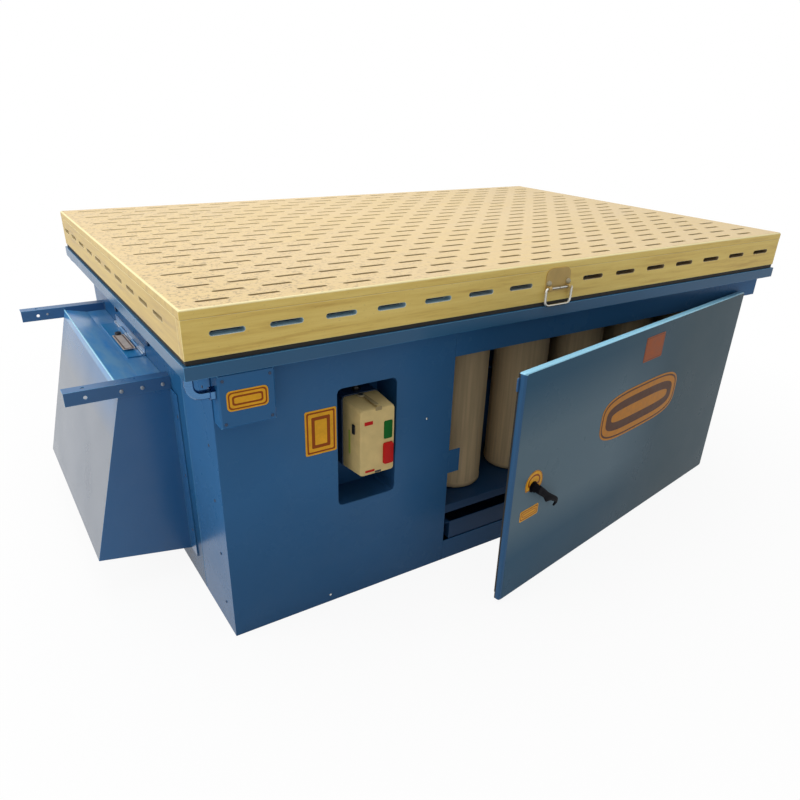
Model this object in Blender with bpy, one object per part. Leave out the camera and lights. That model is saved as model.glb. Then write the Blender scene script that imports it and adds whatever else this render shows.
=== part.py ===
"""Downdraft table: slotted wooden top on a sheet-steel cabinet with filters, fan and exhaust hood.

The origin is the middle of the cabinet's underside. X runs along the table, Y to the back, Z up. Metres.
"""

import math

import bmesh
import bpy
import numpy as np
from mathutils import Matrix, Vector

# Whole table
top_length = 1.865
top_width = 1.213
table_height = 0.813
end_overhang = 0.0535
side_overhang = 0.037
gap = 0.0003
overrun = 0.004

# Wooden top
wood_height = 0.097
board_thickness = 0.019
apron_thickness = 0.025
board_edge = 0.003
board_slot_length = 0.060
board_slot_width = 0.0085
board_slot_pitch = 0.1037
board_slot_margin = 0.100
board_row_pitch = 0.0565
board_row_margin = 0.040
apron_slot_length = 0.070
apron_slot_height = 0.010
apron_slot_rise = 0.046
long_slot_pitch = 0.1208
long_slot_margin = 0.085
end_slot_pitch = 0.1104
end_slot_front_margin = 0.1562
end_slot_back_margin = 0.060

# Gasket and steel rim under the wooden top
gasket_height = 0.010
gasket_width = 0.032
gasket_inset = 0.002
rim_height = 0.028
rim_overhang = 0.004
rim_flange = 0.042
rim_thickness = 0.003

# Cabinet of folded sheet
sheet = 0.0025
base_flange = 0.035
left_return = 0.2095
left_groove = 0.003
panel_return = 0.030
ear_past_top = 0.001
front_ear_height = 0.0655
back_ear_height = 0.078
back_ear_tip = 0.006
drop_left_margin = 0.0745
drop_right_margin = 0.0075
drop_front_margin = 0.133
drop_back_margin = 0.0895

# Door opening, in the right part of the front
fan_side = 0.6045
right_stile = 0.0515
sill_height = 0.0625
header_height = 0.076
keeper_below_latch = 0.042
keeper_above_latch = 0.0245
keeper_reach = 0.035
keeper_leg = 0.024

# Compartments
divider_back_off = 0.0155
duct_depth = 0.3765
duct_window_margin = 0.045
duct_window_low = 0.010
duct_height = 0.071

# Filter cartridges
cartridge_radius = 0.078
cartridge_cap = 0.022
cartridge_recess = 0.0015
cartridge_pleat = 0.003
cartridge_bore = 0.045
cartridge_floor = 0.012
cartridge_pitch = 0.217
cartridge_left_margin = 0.120
cartridge_right_margin = 0.085
cartridge_set_back = 0.133
cartridge_pleats = 8
tube_hole_radius = 0.060
shelf_rise = 0.172
shelf_lip = 0.025
shelf_depth = 0.250
shelf_set_back = 0.006

# Dust tray and its rails
tray_low = 0.0632
tray_high = 0.119
tray_side_room = 0.006
tray_depth = 0.900
tray_sheet = 0.002
tray_edge = 0.014
rail_width = 0.090

# Starter in its recess
recess_width = 0.1575
recess_height = 0.3025
recess_to_opening = 0.1665
recess_drop = 0.0965
recess_depth = 0.0905
recess_corner = 0.012
recess_flange = 0.014
starter_off_middle = 0.00525
starter_front_width = 0.091
starter_front_height = 0.1673
starter_front_drop = 0.0487
starter_back_width = 0.095
starter_back_height = 0.182
starter_back_drop = 0.0415
starter_stand_out = 0.037
starter_cover_back = 0.043
starter_base_margin = 0.002
starter_wall = 0.003
starter_corner = 0.007
gland_radius = 0.011
gland_height = 0.016
gland_neck = 0.008
gland_step_shares = (0.55, 0.62)
button_inset = 0.0172
start_width = 0.022
start_height = 0.0453
start_drop = 0.0852
stop_width = 0.025
stop_height = 0.0532
stop_drop = 0.1413
button_clearance = 0.0005
start_stand_out = 0.001
stop_stand_out = 0.006
button_depth = 0.014
button_collar = 0.001
button_collar_depth = 0.002

# Junction box and conduit
junction_inset = 0.0025
junction_width = 0.118
junction_height = 0.1132
junction_depth = 0.040
junction_edge = 0.003
conduit_radius = 0.0095
conduit_inlet = 0.072
conduit_bend = 0.022
conduit_reach = 0.048
conduit_out = 0.017
conduit_nut_radius = 0.0145
conduit_nut_length = 0.010

# Exhaust hood and its arms
hood_length = 0.700
hood_over_outlet = 0.005
hood_fold = 0.0535
hood_lip_out = 0.1155
hood_lip_height = 0.013
hood_foot_out = 0.2315
hood_foot_rise = 0.110
hood_bottom = 0.070
hood_flange = 0.050
arm_leg = 0.032
arm_thickness = 0.003
arm_over_hood = 0.022
arm_past_hood = 0.002
arm_hole_radius = 0.0045
arm_hole_inset = 0.044
lid_length = 0.320
lid_off_middle = 0.030
lid_width = 0.0415
lid_hatch_margin = 0.008
lid_leaf = 0.0015
lid_knuckles = 5
lid_barrel_radius = 0.0042
lid_pin_radius = 0.0018
lid_leaf_height = 0.022
lid_knob_radius = 0.009
lid_knob_height = 0.012
lid_knob_out = 0.022
lid_knob_off_middle = 0.055
knob_neck_share = 0.6
knob_crown_share = 0.8
knob_rise_shares = (0.3, 0.45, 0.85)

# Fan, motor and stand
fan_off_middle = 0.0155
fan_from_back = 0.481
fan_below_middle = 0.04025
scroll_width = 0.150
scroll_sheet = 0.003
scroll_start = 0.172
scroll_end = 0.235
scroll_tongue_angle = 135
scroll_sweep_angle = 315
scroll_steps = 28
inlet_radius = 0.098
fan_radius = 0.150
fan_side_clearance = 0.012
fan_plate = 0.004
fan_eye_radius = 0.095
fan_hub_radius = 0.034
fan_hub_length = 0.045
fan_blades = 10
fan_blade_root = 0.070
fan_blade_thickness = 0.003
fan_blade_angle = 35
shaft_radius = 0.014
shaft_into_motor = 0.080
scroll_shaft_hole = 0.030
motor_radius = 0.085
motor_length = 0.230
motor_bell_radius = 0.060
motor_bell_length = 0.022
motor_cowl_length = 0.060
motor_cowl_grow = 0.004
motor_cowl_slope = 0.015
motor_back_share = 0.8
stand_length = 0.130
stand_width = 0.130
stand_foot = 0.030
stand_sheet = 0.004
motor_box_side = 0.070
motor_box_height = 0.035

# Door
door_overlap = 0.0104
door_low = 0.010
door_drop = 0.044
door_depth = 0.016
door_stand_off = 0.004
door_edge_gap = 0.0034
door_hinge_inset = 0.0295
door_lip = 0.030
door_open_angle = 10.8
seal_width = 0.008
seal_edge = 0.0015
seal_leaf_room = 0.0096
door_barrel_radius = 0.0032
door_pin_radius = 0.0014
door_leaf = 0.0015
door_leaf_width = 0.0225
door_leaf_inset = 0.0115
door_leaf_end = 0.020
door_knuckles = 7

# Latch
latch_from_edge = 0.085
latch_rise = 0.321
latch_plate_radius = 0.021
latch_plate_depth = 0.010
latch_plate_face_share = 0.75
latch_plate_rim_share = 0.6
latch_shaft_radius = 0.006
latch_hub_radius = 0.013
latch_hub_face_share = 0.8
latch_hub_foot_share = 0.7
latch_hub_slope = 0.003
latch_stand_off = 0.026
latch_lever_length = 0.126
latch_lever_root = 0.011
latch_lever_tip = 0.007
latch_lever_depth = 0.012
latch_lever_inset = 0.002
latch_lever_bend = 0.010
latch_rest_angle = -36.4
latch_closed_angle = -90
latch_hole_clearance = 0.0006
latch_shaft_past_cam = 0.0015
cam_length = 0.060
cam_width = 0.022
cam_depth = 0.003
cam_clearance = 0.0015

# Carrying handle on the front apron
handle_middle = -0.003
handle_plate_width = 0.080
handle_plate_corner = 0.018
handle_plate_foot = 0.025
handle_plate_height = 0.056
handle_plate_depth = 0.002
handle_pivot_height = 0.034
handle_pivot_out = 0.0085
handle_ear_middle = 0.032
handle_ear_length = 0.008
handle_ear_radius = 0.006
bail_half_width = 0.0455
bail_drop = 0.042
bail_radius = 0.0030
bail_corner = 0.012
bail_top_corner = 0.005
bail_clearance = 0.0005
bail_end_gap = 0.002

# Hinges of the wooden top
top_hinge_inset = 0.3125
top_hinge_length = 0.090
top_hinge_radius = 0.0050
top_hinge_pin = 0.0025
top_hinge_leaf = 0.002
top_hinge_leaf_height = 0.024
top_hinge_knuckles = 5
hinge_sides = 10

# Heights and places of the whole, worked out from the values above
half_length = top_length / 2
half_width = top_width / 2
cabinet_right = half_length - end_overhang
cabinet_left = -cabinet_right
cabinet_back = half_width - side_overhang
cabinet_front = -cabinet_back
wood_low = table_height - wood_height
rim_top = wood_low - gasket_height
cabinet_top = rim_top - rim_height
panel_top = cabinet_top - gap
floor_top = sheet
board_low = table_height - board_thickness
inner_left = cabinet_left + sheet
inner_right = cabinet_right - sheet
inner_front = cabinet_front + sheet
inner_back = cabinet_back - sheet
ear_reach = end_overhang + ear_past_top

# Slots of the wooden top, worked out
board_slots_per_row = 1 + int((top_length - 2 * board_slot_margin) / board_slot_pitch)
board_rows = 1 + int((top_width - 2 * board_row_margin) / board_row_pitch)
long_slots = 1 + int((top_length - 2 * long_slot_margin) / long_slot_pitch)
end_slot_room = top_width - end_slot_front_margin - end_slot_back_margin
end_slots = 1 + int(end_slot_room / end_slot_pitch)

# Door opening and compartments, worked out
opening_left = cabinet_left + fan_side
opening_right = cabinet_right - right_stile
opening_high = cabinet_top - header_height
divider_x = opening_left - divider_back_off
duct_back = cabinet_front + duct_depth
tube_sheet_low = cabinet_top - duct_height - sheet
drop_left = opening_left + drop_left_margin
drop_right = opening_right - drop_right_margin
drop_front = duct_back + drop_front_margin
drop_back = cabinet_back - drop_back_margin
cartridge_y = cabinet_front + cartridge_set_back
cartridge_first = opening_left + cartridge_left_margin
cartridge_room = opening_right - cartridge_right_margin - cartridge_first
cartridges = 1 + int(cartridge_room / cartridge_pitch)

# Starter, worked out
recess_right = opening_left - recess_to_opening
recess_left = recess_right - recess_width
recess_high = cabinet_top - recess_drop
recess_low = recess_high - recess_height
starter_middle = (recess_left + recess_right) / 2 + starter_off_middle
starter_front_high = recess_high - starter_front_drop
starter_front_low = starter_front_high - starter_front_height
starter_back_high = recess_high - starter_back_drop
starter_back_low = starter_back_high - starter_back_height
button_middle = starter_middle + starter_front_width / 2 - button_inset
start_size = (start_width, start_height, recess_high - start_drop)
stop_size = (stop_width, stop_height, recess_high - stop_drop)

# Left end and fan, worked out
junction_left = cabinet_left + junction_inset
junction_low = panel_top - junction_height
conduit_rise = junction_low + conduit_inlet
fan_x = (cabinet_left + divider_x) / 2 - fan_off_middle
fan_y = cabinet_back - fan_from_back
fan_z = (floor_top + cabinet_top) / 2 - fan_below_middle
hood_front = fan_y - hood_length / 2
hood_back = fan_y + hood_length / 2
hood_top = fan_z + scroll_end + hood_over_outlet
hood_lip_rise = hood_top + hood_lip_height
arm_top = hood_top + arm_over_hood
arm_reach = hood_foot_out + arm_past_hood
lid_front = fan_y + lid_off_middle - lid_length / 2

# Door, worked out
door_hinge_x = cabinet_right - door_hinge_inset
door_back = cabinet_front - door_stand_off
door_front = door_back - door_depth
door_right = door_hinge_x - door_edge_gap
door_left = opening_left - door_overlap
door_high = cabinet_top - door_drop
latch_x = door_left + latch_from_edge

# Handle and hinges of the wooden top, worked out
handle_plate_low = wood_low + handle_plate_foot
handle_pivot_rise = wood_low + handle_pivot_height
top_hinge_middle = half_length - top_hinge_inset

# Finishes: base colour, roughness, metallic
finishes = {
    "blue_paint": ((0.030, 0.170, 0.480), 0.38, 0.0),
    "blue_arm_paint": ((0.020, 0.085, 0.270), 0.42, 0.0),
    "inner_paint": ((0.025, 0.120, 0.330), 0.50, 0.0),
    "wood": ((0.720, 0.520, 0.240), 0.55, 0.0),
    "foam": ((0.015, 0.015, 0.016), 0.90, 0.0),
    "filter_media": ((0.780, 0.740, 0.620), 0.85, 0.0),
    "starter_grey": ((0.660, 0.650, 0.580), 0.45, 0.0),
    "black_plastic": ((0.015, 0.015, 0.017), 0.40, 0.0),
    "green_plastic": ((0.010, 0.320, 0.140), 0.35, 0.0),
    "red_plastic": ((0.650, 0.030, 0.020), 0.35, 0.0),
    "bright_steel": ((0.560, 0.570, 0.580), 0.30, 1.0),
    "dull_steel": ((0.380, 0.390, 0.400), 0.45, 1.0),
    "motor_grey": ((0.180, 0.200, 0.220), 0.50, 0.0),
}


def clear_scene():
    for obj in list(bpy.data.objects):
        bpy.data.objects.remove(obj, do_unlink=True)


def finish(name):
    """The named finish as a Principled material, made once for each piece that asks."""
    colour, roughness, metallic = finishes[name]
    material = bpy.data.materials.new(name)
    material.use_nodes = True
    shader = material.node_tree.nodes["Principled BSDF"]
    shader.inputs["Base Color"].default_value = (*colour, 1.0)
    shader.inputs["Roughness"].default_value = roughness
    shader.inputs["Metallic"].default_value = metallic
    return material


def as_object(name, bm, finish_name, smooth_angle=None):
    """Turns a bmesh into a linked object with its own material."""
    bmesh.ops.recalc_face_normals(bm, faces=bm.faces)
    mesh = bpy.data.meshes.new(name)
    bm.to_mesh(mesh)
    bm.free()
    if smooth_angle is not None:
        mesh.shade_smooth()
        mesh.set_sharp_from_angle(angle=math.radians(smooth_angle))
    obj = bpy.data.objects.new(name, mesh)
    bpy.context.scene.collection.objects.link(obj)
    if finish_name:
        mesh.materials.append(finish(finish_name))
    return obj


def hide_helper(obj):
    obj.hide_render = True
    obj.display_type = "WIRE"
    return obj


def combine(obj, bm, operation, label):
    """Cuts the bmesh's solids from the object, or joins them to it, with a Boolean modifier."""
    helper = hide_helper(as_object(f"{obj.name}_{label}", bm, None))
    modifier = obj.modifiers.new(label, "BOOLEAN")
    modifier.operation = operation
    modifier.solver = "EXACT"
    modifier.object = helper
    return helper


def cut(obj, bm, label="cutter"):
    return combine(obj, bm, "DIFFERENCE", label)


def join(obj, bm, label="added"):
    return combine(obj, bm, "UNION", label)


def loft(bm, loops):
    """Closed solid through loops of equally many points, with a face at each end."""
    rings = [[bm.verts.new(point) for point in loop] for loop in loops]
    for low, high in zip(rings, rings[1:]):
        for i, start in enumerate(low):
            j = (i + 1) % len(low)
            bm.faces.new((start, low[j], high[j], high[i]))
    bm.faces.new(rings[0][::-1])
    bm.faces.new(rings[-1])
    return bm


def ring_loft(bm, loops):
    """Closed ring through loops of equally many points, the last joined to the first."""
    rings = [[bm.verts.new(point) for point in loop] for loop in loops]
    for low, high in zip(rings, rings[1:] + rings[:1]):
        for i, start in enumerate(low):
            j = (i + 1) % len(low)
            bm.faces.new((start, low[j], high[j], high[i]))
    return bm


def along(axis, plane_points, place):
    """Puts 2-D points at a place on an axis: X takes (y, z), Y takes (x, z), Z takes (x, y)."""
    if axis == "X":
        return [(place, u, v) for u, v in plane_points]
    if axis == "Y":
        return [(u, place, v) for u, v in plane_points]
    return [(u, v, place) for u, v in plane_points]


def prism(bm, axis, outline, low, high):
    return loft(bm, [along(axis, outline, low), along(axis, outline, high)])


def box(bm, low, high):
    outline = rectangle(low[0], low[1], high[0], high[1])
    return prism(bm, "Z", outline, low[2], high[2])


def rectangle(left, low, right, high):
    return [(left, low), (right, low), (right, high), (left, high)]


def rounded_rectangle(left, low, right, high, radius, steps=2):
    """Rectangle with quarter-circle corners of the given radius."""
    corners = [
        (right - radius, low + radius, -90),
        (right - radius, high - radius, 0),
        (left + radius, high - radius, 90),
        (left + radius, low + radius, 180),
    ]
    points = []
    for x, y, start in corners:
        for i in range(steps + 1):
            angle = math.radians(start + 90 * i / steps)
            points.append((x + radius * math.cos(angle), y + radius * math.sin(angle)))
    return points


def circle(centre, radius, steps):
    turn = np.arange(steps) * 2 * math.pi / steps
    return [(centre[0] + radius * math.cos(a), centre[1] + radius * math.sin(a)) for a in turn]


def sheet_outline(path, thickness):
    """Outline of a folded sheet: the path, and the path again one thickness to its left, mitred."""
    points = [Vector(p) for p in path]
    normals = []
    for start, end in zip(points, points[1:]):
        run = (end - start).normalized()
        normals.append(Vector((-run.y, run.x)))
    inner = [points[0] + normals[0] * thickness]
    for point, before, after in zip(points[1:-1], normals, normals[1:]):
        inner.append(point + (before + after) * thickness / (1 + before.dot(after)))
    inner.append(points[-1] + normals[-1] * thickness)
    return [tuple(p) for p in points] + [tuple(p) for p in reversed(inner)]


def lathe(bm, profile, steps, place):
    """Solid of revolution about local Z: profile points (radius, height) run bottom to top."""
    rings = []
    for radius, height in profile:
        rings.append([place @ Vector((u, v, height)) for u, v in circle((0, 0), radius, steps)])
    return loft(bm, rings)


def tube(bm, profile, steps, place):
    """Ring of revolution about local Z: the profile is a closed loop of (radius, height)."""
    rings = []
    for radius, height in profile:
        rings.append([place @ Vector((u, v, height)) for u, v in circle((0, 0), radius, steps)])
    return ring_loft(bm, rings)


def standing(x, y, z):
    return Matrix.Translation((x, y, z))


def pointing_back(x, y, z):
    """Local Z runs along +Y, local X stays along +X."""
    return Matrix.Translation((x, y, z)) @ Matrix.Rotation(math.radians(-90), 4, "X")


def pointing_right(x, y, z):
    """Local Z runs along +X, local X runs down."""
    return Matrix.Translation((x, y, z)) @ Matrix.Rotation(math.radians(90), 4, "Y")


def pivot(name, place):
    """Empty that marks a joint's axis and carries the pieces that turn or slide on it."""
    empty = bpy.data.objects.new(name, None)
    bpy.context.scene.collection.objects.link(empty)
    empty.matrix_world = place
    bpy.context.view_layer.update()
    return empty


def carry(empty, *pieces):
    """Parents pieces, modelled in world coordinates with their joint closed, to the joint's empty."""
    for piece in pieces:
        helpers = [m.object for m in piece.modifiers if m.type == "BOOLEAN"]
        for obj in [piece, *helpers]:
            if obj.parent is None:
                obj.parent = empty
                obj.matrix_parent_inverse = empty.matrix_world.inverted()


# Cabinet


def base_pan():
    """Floor of the cabinet: a shallow pan whose edges stand up inside the wall panels."""
    bm = bmesh.new()
    outer = (inner_left + gap, inner_front + gap, inner_right - gap, inner_back - gap)
    inner = (outer[0] + sheet, outer[1] + sheet, outer[2] - sheet, outer[3] - sheet)
    loft(
        bm,
        [
            along("Z", rectangle(*outer), 0),
            along("Z", rectangle(*outer), base_flange),
            along("Z", rectangle(*inner), base_flange),
            along("Z", rectangle(*inner), floor_top),
        ],
    )
    return as_object("base_pan", bm, "inner_paint")


def front_left_panel():
    """Front skin left of the door, folded back round the left corner and at the door opening."""
    right = opening_left - gap
    path = [
        (cabinet_left, cabinet_front + left_return),
        (cabinet_left, cabinet_front),
        (right, cabinet_front),
        (right, cabinet_front + panel_return),
    ]
    bm = prism(bmesh.new(), "Z", sheet_outline(path, sheet), 0, panel_top)
    panel = as_object("front_left_panel", bm, "blue_paint")
    hole = rounded_rectangle(recess_left, recess_low, recess_right, recess_high, recess_corner)
    cut(panel, prism(bmesh.new(), "Y", hole, cabinet_front - overrun, inner_front + overrun))
    left, back = right - sheet - overrun, cabinet_front + panel_return + overrun
    notches = box(
        bmesh.new(), (left, inner_front, -overrun), (right + overrun, back, base_flange + gap)
    )
    head = (left, inner_front, tube_sheet_low - gap)
    box(notches, head, (right + overrun, back, panel_top + overrun))
    cut(panel, notches, "notches")
    return panel


def front_frame():
    """Front skin round the door opening: sill, right stile, header, and the ear under the rim."""
    left = opening_left
    outline = [
        (left, 0),
        (cabinet_right, 0),
        (cabinet_right, cabinet_top - front_ear_height),
        (cabinet_right + ear_reach, cabinet_top - front_ear_height),
        (cabinet_right + ear_reach, panel_top),
        (left, panel_top),
        (left, opening_high),
        (opening_right, opening_high),
        (opening_right, sill_height),
        (left, sill_height),
    ]
    bm = prism(bmesh.new(), "Y", outline, cabinet_front, inner_front)
    return as_object("front_frame", bm, "blue_paint")


def latch_keeper():
    """Angle on the left edge of the opening, whose tab the latch's cam goes behind."""
    path = [
        (opening_left, cabinet_front + keeper_leg),
        (opening_left, cabinet_front),
        (opening_left + keeper_reach, cabinet_front),
    ]
    low, high = latch_rise - keeper_below_latch, latch_rise + keeper_above_latch
    bm = prism(bmesh.new(), "Z", sheet_outline(path, sheet), low, high)
    return as_object("latch_keeper", bm, "blue_paint")


def rear_panel():
    """Back skin, with a gusset ear under each end of the rim."""
    reach = cabinet_right + ear_reach
    ear_low, ear_tip = cabinet_top - back_ear_height, cabinet_top - back_ear_tip
    outline = [
        (cabinet_left, 0),
        (cabinet_right, 0),
        (cabinet_right, ear_low),
        (reach, ear_tip),
        (reach, panel_top),
        (-reach, panel_top),
        (-reach, ear_tip),
        (cabinet_left, ear_low),
    ]
    bm = prism(bmesh.new(), "Y", outline, inner_back, cabinet_back)
    return as_object("rear_panel", bm, "blue_paint")


def exhaust_outlet():
    """Low and high corners (y, z) of the fan's outlet, at its sheet's outer side."""
    tongue = math.radians(scroll_tongue_angle)
    low = fan_z + scroll_start * math.sin(tongue)
    return (fan_y - scroll_width / 2, low, fan_y + scroll_width / 2, fan_z + scroll_end)


def left_end_panel():
    """Left end skin behind the corner, with the exhaust outlet that the hood covers."""
    front = cabinet_front + left_return + left_groove
    bm = box(bmesh.new(), (cabinet_left, front, 0), (inner_left, inner_back - gap, panel_top))
    panel = as_object("left_end_panel", bm, "blue_paint")
    low_y, low_z, high_y, high_z = exhaust_outlet()
    wall = scroll_sheet
    hole = rectangle(low_y + wall, low_z + wall, high_y - wall, high_z - wall)
    cut(panel, prism(bmesh.new(), "X", hole, cabinet_left - overrun, inner_left + overrun))
    return panel


def right_end_panel():
    low = (inner_right, inner_front + gap, 0)
    bm = box(bmesh.new(), low, (cabinet_right, inner_back - gap, panel_top))
    return as_object("right_end_panel", bm, "blue_paint")


def divider_panel():
    """Wall between the fan's side and the filters' side, with the window of the clean-air duct."""
    low = (divider_x - sheet, inner_front + sheet + 2 * gap, floor_top + gap)
    high = (divider_x, inner_back - sheet - 2 * gap, panel_top)
    panel = as_object("divider_panel", box(bmesh.new(), low, high), "inner_paint")
    window = rectangle(
        inner_front + duct_window_margin,
        tube_sheet_low + sheet + duct_window_low,
        duct_back - duct_window_margin,
        panel_top - duct_window_low,
    )
    cut(panel, prism(bmesh.new(), "X", window, divider_x - sheet - overrun, divider_x + overrun))
    return panel


def cartridge_places():
    return [cartridge_first + cartridge_pitch * i for i in range(cartridges)]


def tube_sheet():
    """Plate over the filters, with a hole above each for the clean air."""
    low = (divider_x + gap, inner_front + gap, tube_sheet_low)
    high = (inner_right - gap, duct_back + sheet, tube_sheet_low + sheet)
    plate = as_object("tube_sheet", box(bmesh.new(), low, high), "inner_paint")
    holes = bmesh.new()
    for x in cartridge_places():
        outline = circle((x, cartridge_y), tube_hole_radius, 16)
        prism(holes, "Z", outline, tube_sheet_low - overrun, tube_sheet_low + sheet + overrun)
    cut(plate, holes)
    return plate


def duct_wall():
    """Back wall of the clean-air duct, between the tube sheet and the deck."""
    low = (divider_x + gap, duct_back, tube_sheet_low + sheet + gap)
    high = (inner_right - gap, duct_back + sheet, panel_top)
    return as_object("duct_wall", box(bmesh.new(), low, high), "inner_paint")


def plenum_deck():
    """Deck under the slotted top, with the opening where the dusty air drops to the filters."""
    edge = rim_thickness + gap - rim_overhang
    low = (-half_length + edge, -half_width + edge, cabinet_top)
    high = (half_length - edge, half_width - edge, cabinet_top + sheet)
    deck = as_object("plenum_deck", box(bmesh.new(), low, high), "blue_paint")
    drop = rectangle(drop_left, drop_front, drop_right, drop_back)
    cut(deck, prism(bmesh.new(), "Z", drop, cabinet_top - overrun, cabinet_top + sheet + overrun))
    return deck


def rectangular_ring(bm, profile, half_x, half_y):
    """Mitred frame round a rectangle: the profile is a closed loop of (inset, height)."""
    loops = []
    for side_x, side_y in ((-1, -1), (1, -1), (1, 1), (-1, 1)):
        loops.append([(side_x * (half_x - d), side_y * (half_y - d), z) for d, z in profile])
    return ring_loft(bm, loops)


def top_rim():
    """Angle-iron rim welded round the deck, its flange turned in under the gasket."""
    profile = [
        (0, cabinet_top),
        (0, rim_top),
        (rim_flange, rim_top),
        (rim_flange, rim_top - rim_thickness),
        (rim_thickness, rim_top - rim_thickness),
        (rim_thickness, cabinet_top),
    ]
    bm = rectangular_ring(
        bmesh.new(), profile, half_length + rim_overhang, half_width + rim_overhang
    )
    return as_object("top_rim", bm, "blue_paint")


def rim_gasket():
    """Foam strip that the wooden top rests on."""
    low, high = rim_top + gap, wood_low - gap
    profile = [
        (gasket_inset, low),
        (gasket_inset, high),
        (gasket_inset + gasket_width, high),
        (gasket_inset + gasket_width, low),
    ]
    bm = rectangular_ring(bmesh.new(), profile, half_length, half_width)
    return as_object("rim_gasket", bm, "foam")


# Filters, shelf and dust tray


def filter_cartridge(index, x):
    """Pleated cartridge between two end caps, closed at the foot and open at the head."""
    low = shelf_rise + gap
    high = tube_sheet_low - gap
    steps = 2 * cartridge_pleats
    turn = np.arange(steps) * 2 * math.pi / steps
    body = cartridge_radius - cartridge_recess
    pleats = np.where(np.arange(steps) % 2 == 0, body, body - cartridge_pleat)
    caps = np.full(steps, cartridge_radius)
    bore = np.full(steps, cartridge_bore)
    rings = [
        (caps, low),
        (caps, low + cartridge_cap),
        (pleats, low + cartridge_cap),
        (pleats, high - cartridge_cap),
        (caps, high - cartridge_cap),
        (caps, high),
        (bore, high),
        (bore, low + cartridge_floor),
    ]
    loops = []
    for radii, z in rings:
        loops.append(
            [(x + r * math.cos(a), cartridge_y + r * math.sin(a), z) for r, a in zip(radii, turn)]
        )
    return as_object(f"filter_cartridge_{index}", loft(bmesh.new(), loops), "filter_media")


def filter_shelf():
    """Shelf that holds the cartridges up to the tube sheet, with a folded front and back edge."""
    front = inner_front + shelf_set_back
    path = [
        (front, shelf_rise - shelf_lip),
        (front, shelf_rise),
        (front + shelf_depth, shelf_rise),
        (front + shelf_depth, shelf_rise - shelf_lip),
    ]
    outline = sheet_outline(path[::-1], sheet)
    bm = prism(bmesh.new(), "X", outline, opening_left + gap, inner_right - gap)
    return as_object("filter_shelf", bm, "inner_paint")


def dust_tray():
    """Loose pan under the filters, with a stiffening edge turned out along its rim."""
    left, right = opening_left + tray_side_room, opening_right - tray_side_room
    front = inner_front + gap
    back = front + tray_depth
    low = tray_low + gap
    inside = tray_edge + tray_sheet
    outer = (left, front, right, back)
    shell = (left + tray_edge, front, right - tray_edge, back - tray_edge)
    well = (left + inside, front + tray_sheet, right - inside, back - inside)
    loops = [
        along("Z", rectangle(*shell), low),
        along("Z", rectangle(*shell), tray_high - tray_sheet),
        along("Z", rectangle(*outer), tray_high - tray_sheet),
        along("Z", rectangle(*outer), tray_high),
        along("Z", rectangle(*well), tray_high),
        along("Z", rectangle(*well), low + tray_sheet),
    ]
    return as_object("dust_tray", loft(bmesh.new(), loops), "blue_paint")


def tray_rail(name, wall, side):
    """Angle rail on the base, under one end of the dust tray. side is 1 at the left wall."""
    path = [
        (wall, floor_top + gap),
        (wall, tray_low),
        (wall + side * rail_width, tray_low),
    ]
    outline = sheet_outline(path, -side * sheet)
    front = cabinet_front + panel_return + gap
    bm = prism(bmesh.new(), "Y", outline, front, front + tray_depth)
    return as_object(name, bm, "inner_paint")


# Starter in its recess


def recess_loop(grow, y):
    outline = rounded_rectangle(
        recess_left - grow,
        recess_low - grow,
        recess_right + grow,
        recess_high + grow,
        recess_corner + grow,
    )
    return along("Y", outline, y)


def starter_recess():
    """Pressed pan behind the hole in the front skin, flanged against the skin's inner side."""
    back = cabinet_front + recess_depth
    flange = inner_front + gap
    loops = [
        recess_loop(0, back),
        recess_loop(0, flange),
        recess_loop(recess_flange, flange),
        recess_loop(recess_flange, flange + sheet),
        recess_loop(sheet, flange + sheet),
        recess_loop(sheet, back + sheet),
    ]
    return as_object("starter_recess", loft(bmesh.new(), loops), "blue_paint")


def starter_loop(width, low, high, y, grow=0.0):
    outline = rounded_rectangle(
        starter_middle - width / 2 - grow,
        low - grow,
        starter_middle + width / 2 + grow,
        high + grow,
        starter_corner + grow,
    )
    return along("Y", outline, y)


def starter_base():
    """Back half of the starter's case, on the recess's back wall."""
    front = cabinet_front + starter_cover_back + gap
    back = cabinet_front + recess_depth - gap
    size = (starter_back_width, starter_back_low, starter_back_high)
    loops = [
        starter_loop(*size, front, starter_base_margin),
        starter_loop(*size, back, starter_base_margin),
    ]
    return as_object("starter_base", loft(bmesh.new(), loops), "starter_grey")


def starter_cover():
    """Tapered hollow cover with the wells of the two push buttons."""
    front = cabinet_front - starter_stand_out
    back = cabinet_front + starter_cover_back
    front_size = (starter_front_width, starter_front_low, starter_front_high)
    back_size = (starter_back_width, starter_back_low, starter_back_high)
    loops = [
        starter_loop(*back_size, back, -starter_wall),
        starter_loop(*back_size, back),
        starter_loop(*front_size, front + starter_wall),
        starter_loop(*front_size, front, -starter_wall / 2),
    ]
    inner = starter_loop(*front_size, front + starter_wall, -starter_wall)
    cover = as_object("starter_cover", loft(bmesh.new(), [inner, *loops]), "starter_grey")
    wells = bmesh.new()
    for width, height, high in (start_size, stop_size):
        outline = rounded_rectangle(
            button_middle - width / 2 - button_clearance,
            high - height - button_clearance,
            button_middle + width / 2 + button_clearance,
            high + button_clearance,
            starter_corner / 2,
        )
        prism(wells, "Y", outline, front - overrun, front + starter_wall + overrun)
    cut(cover, wells)
    return cover


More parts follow.
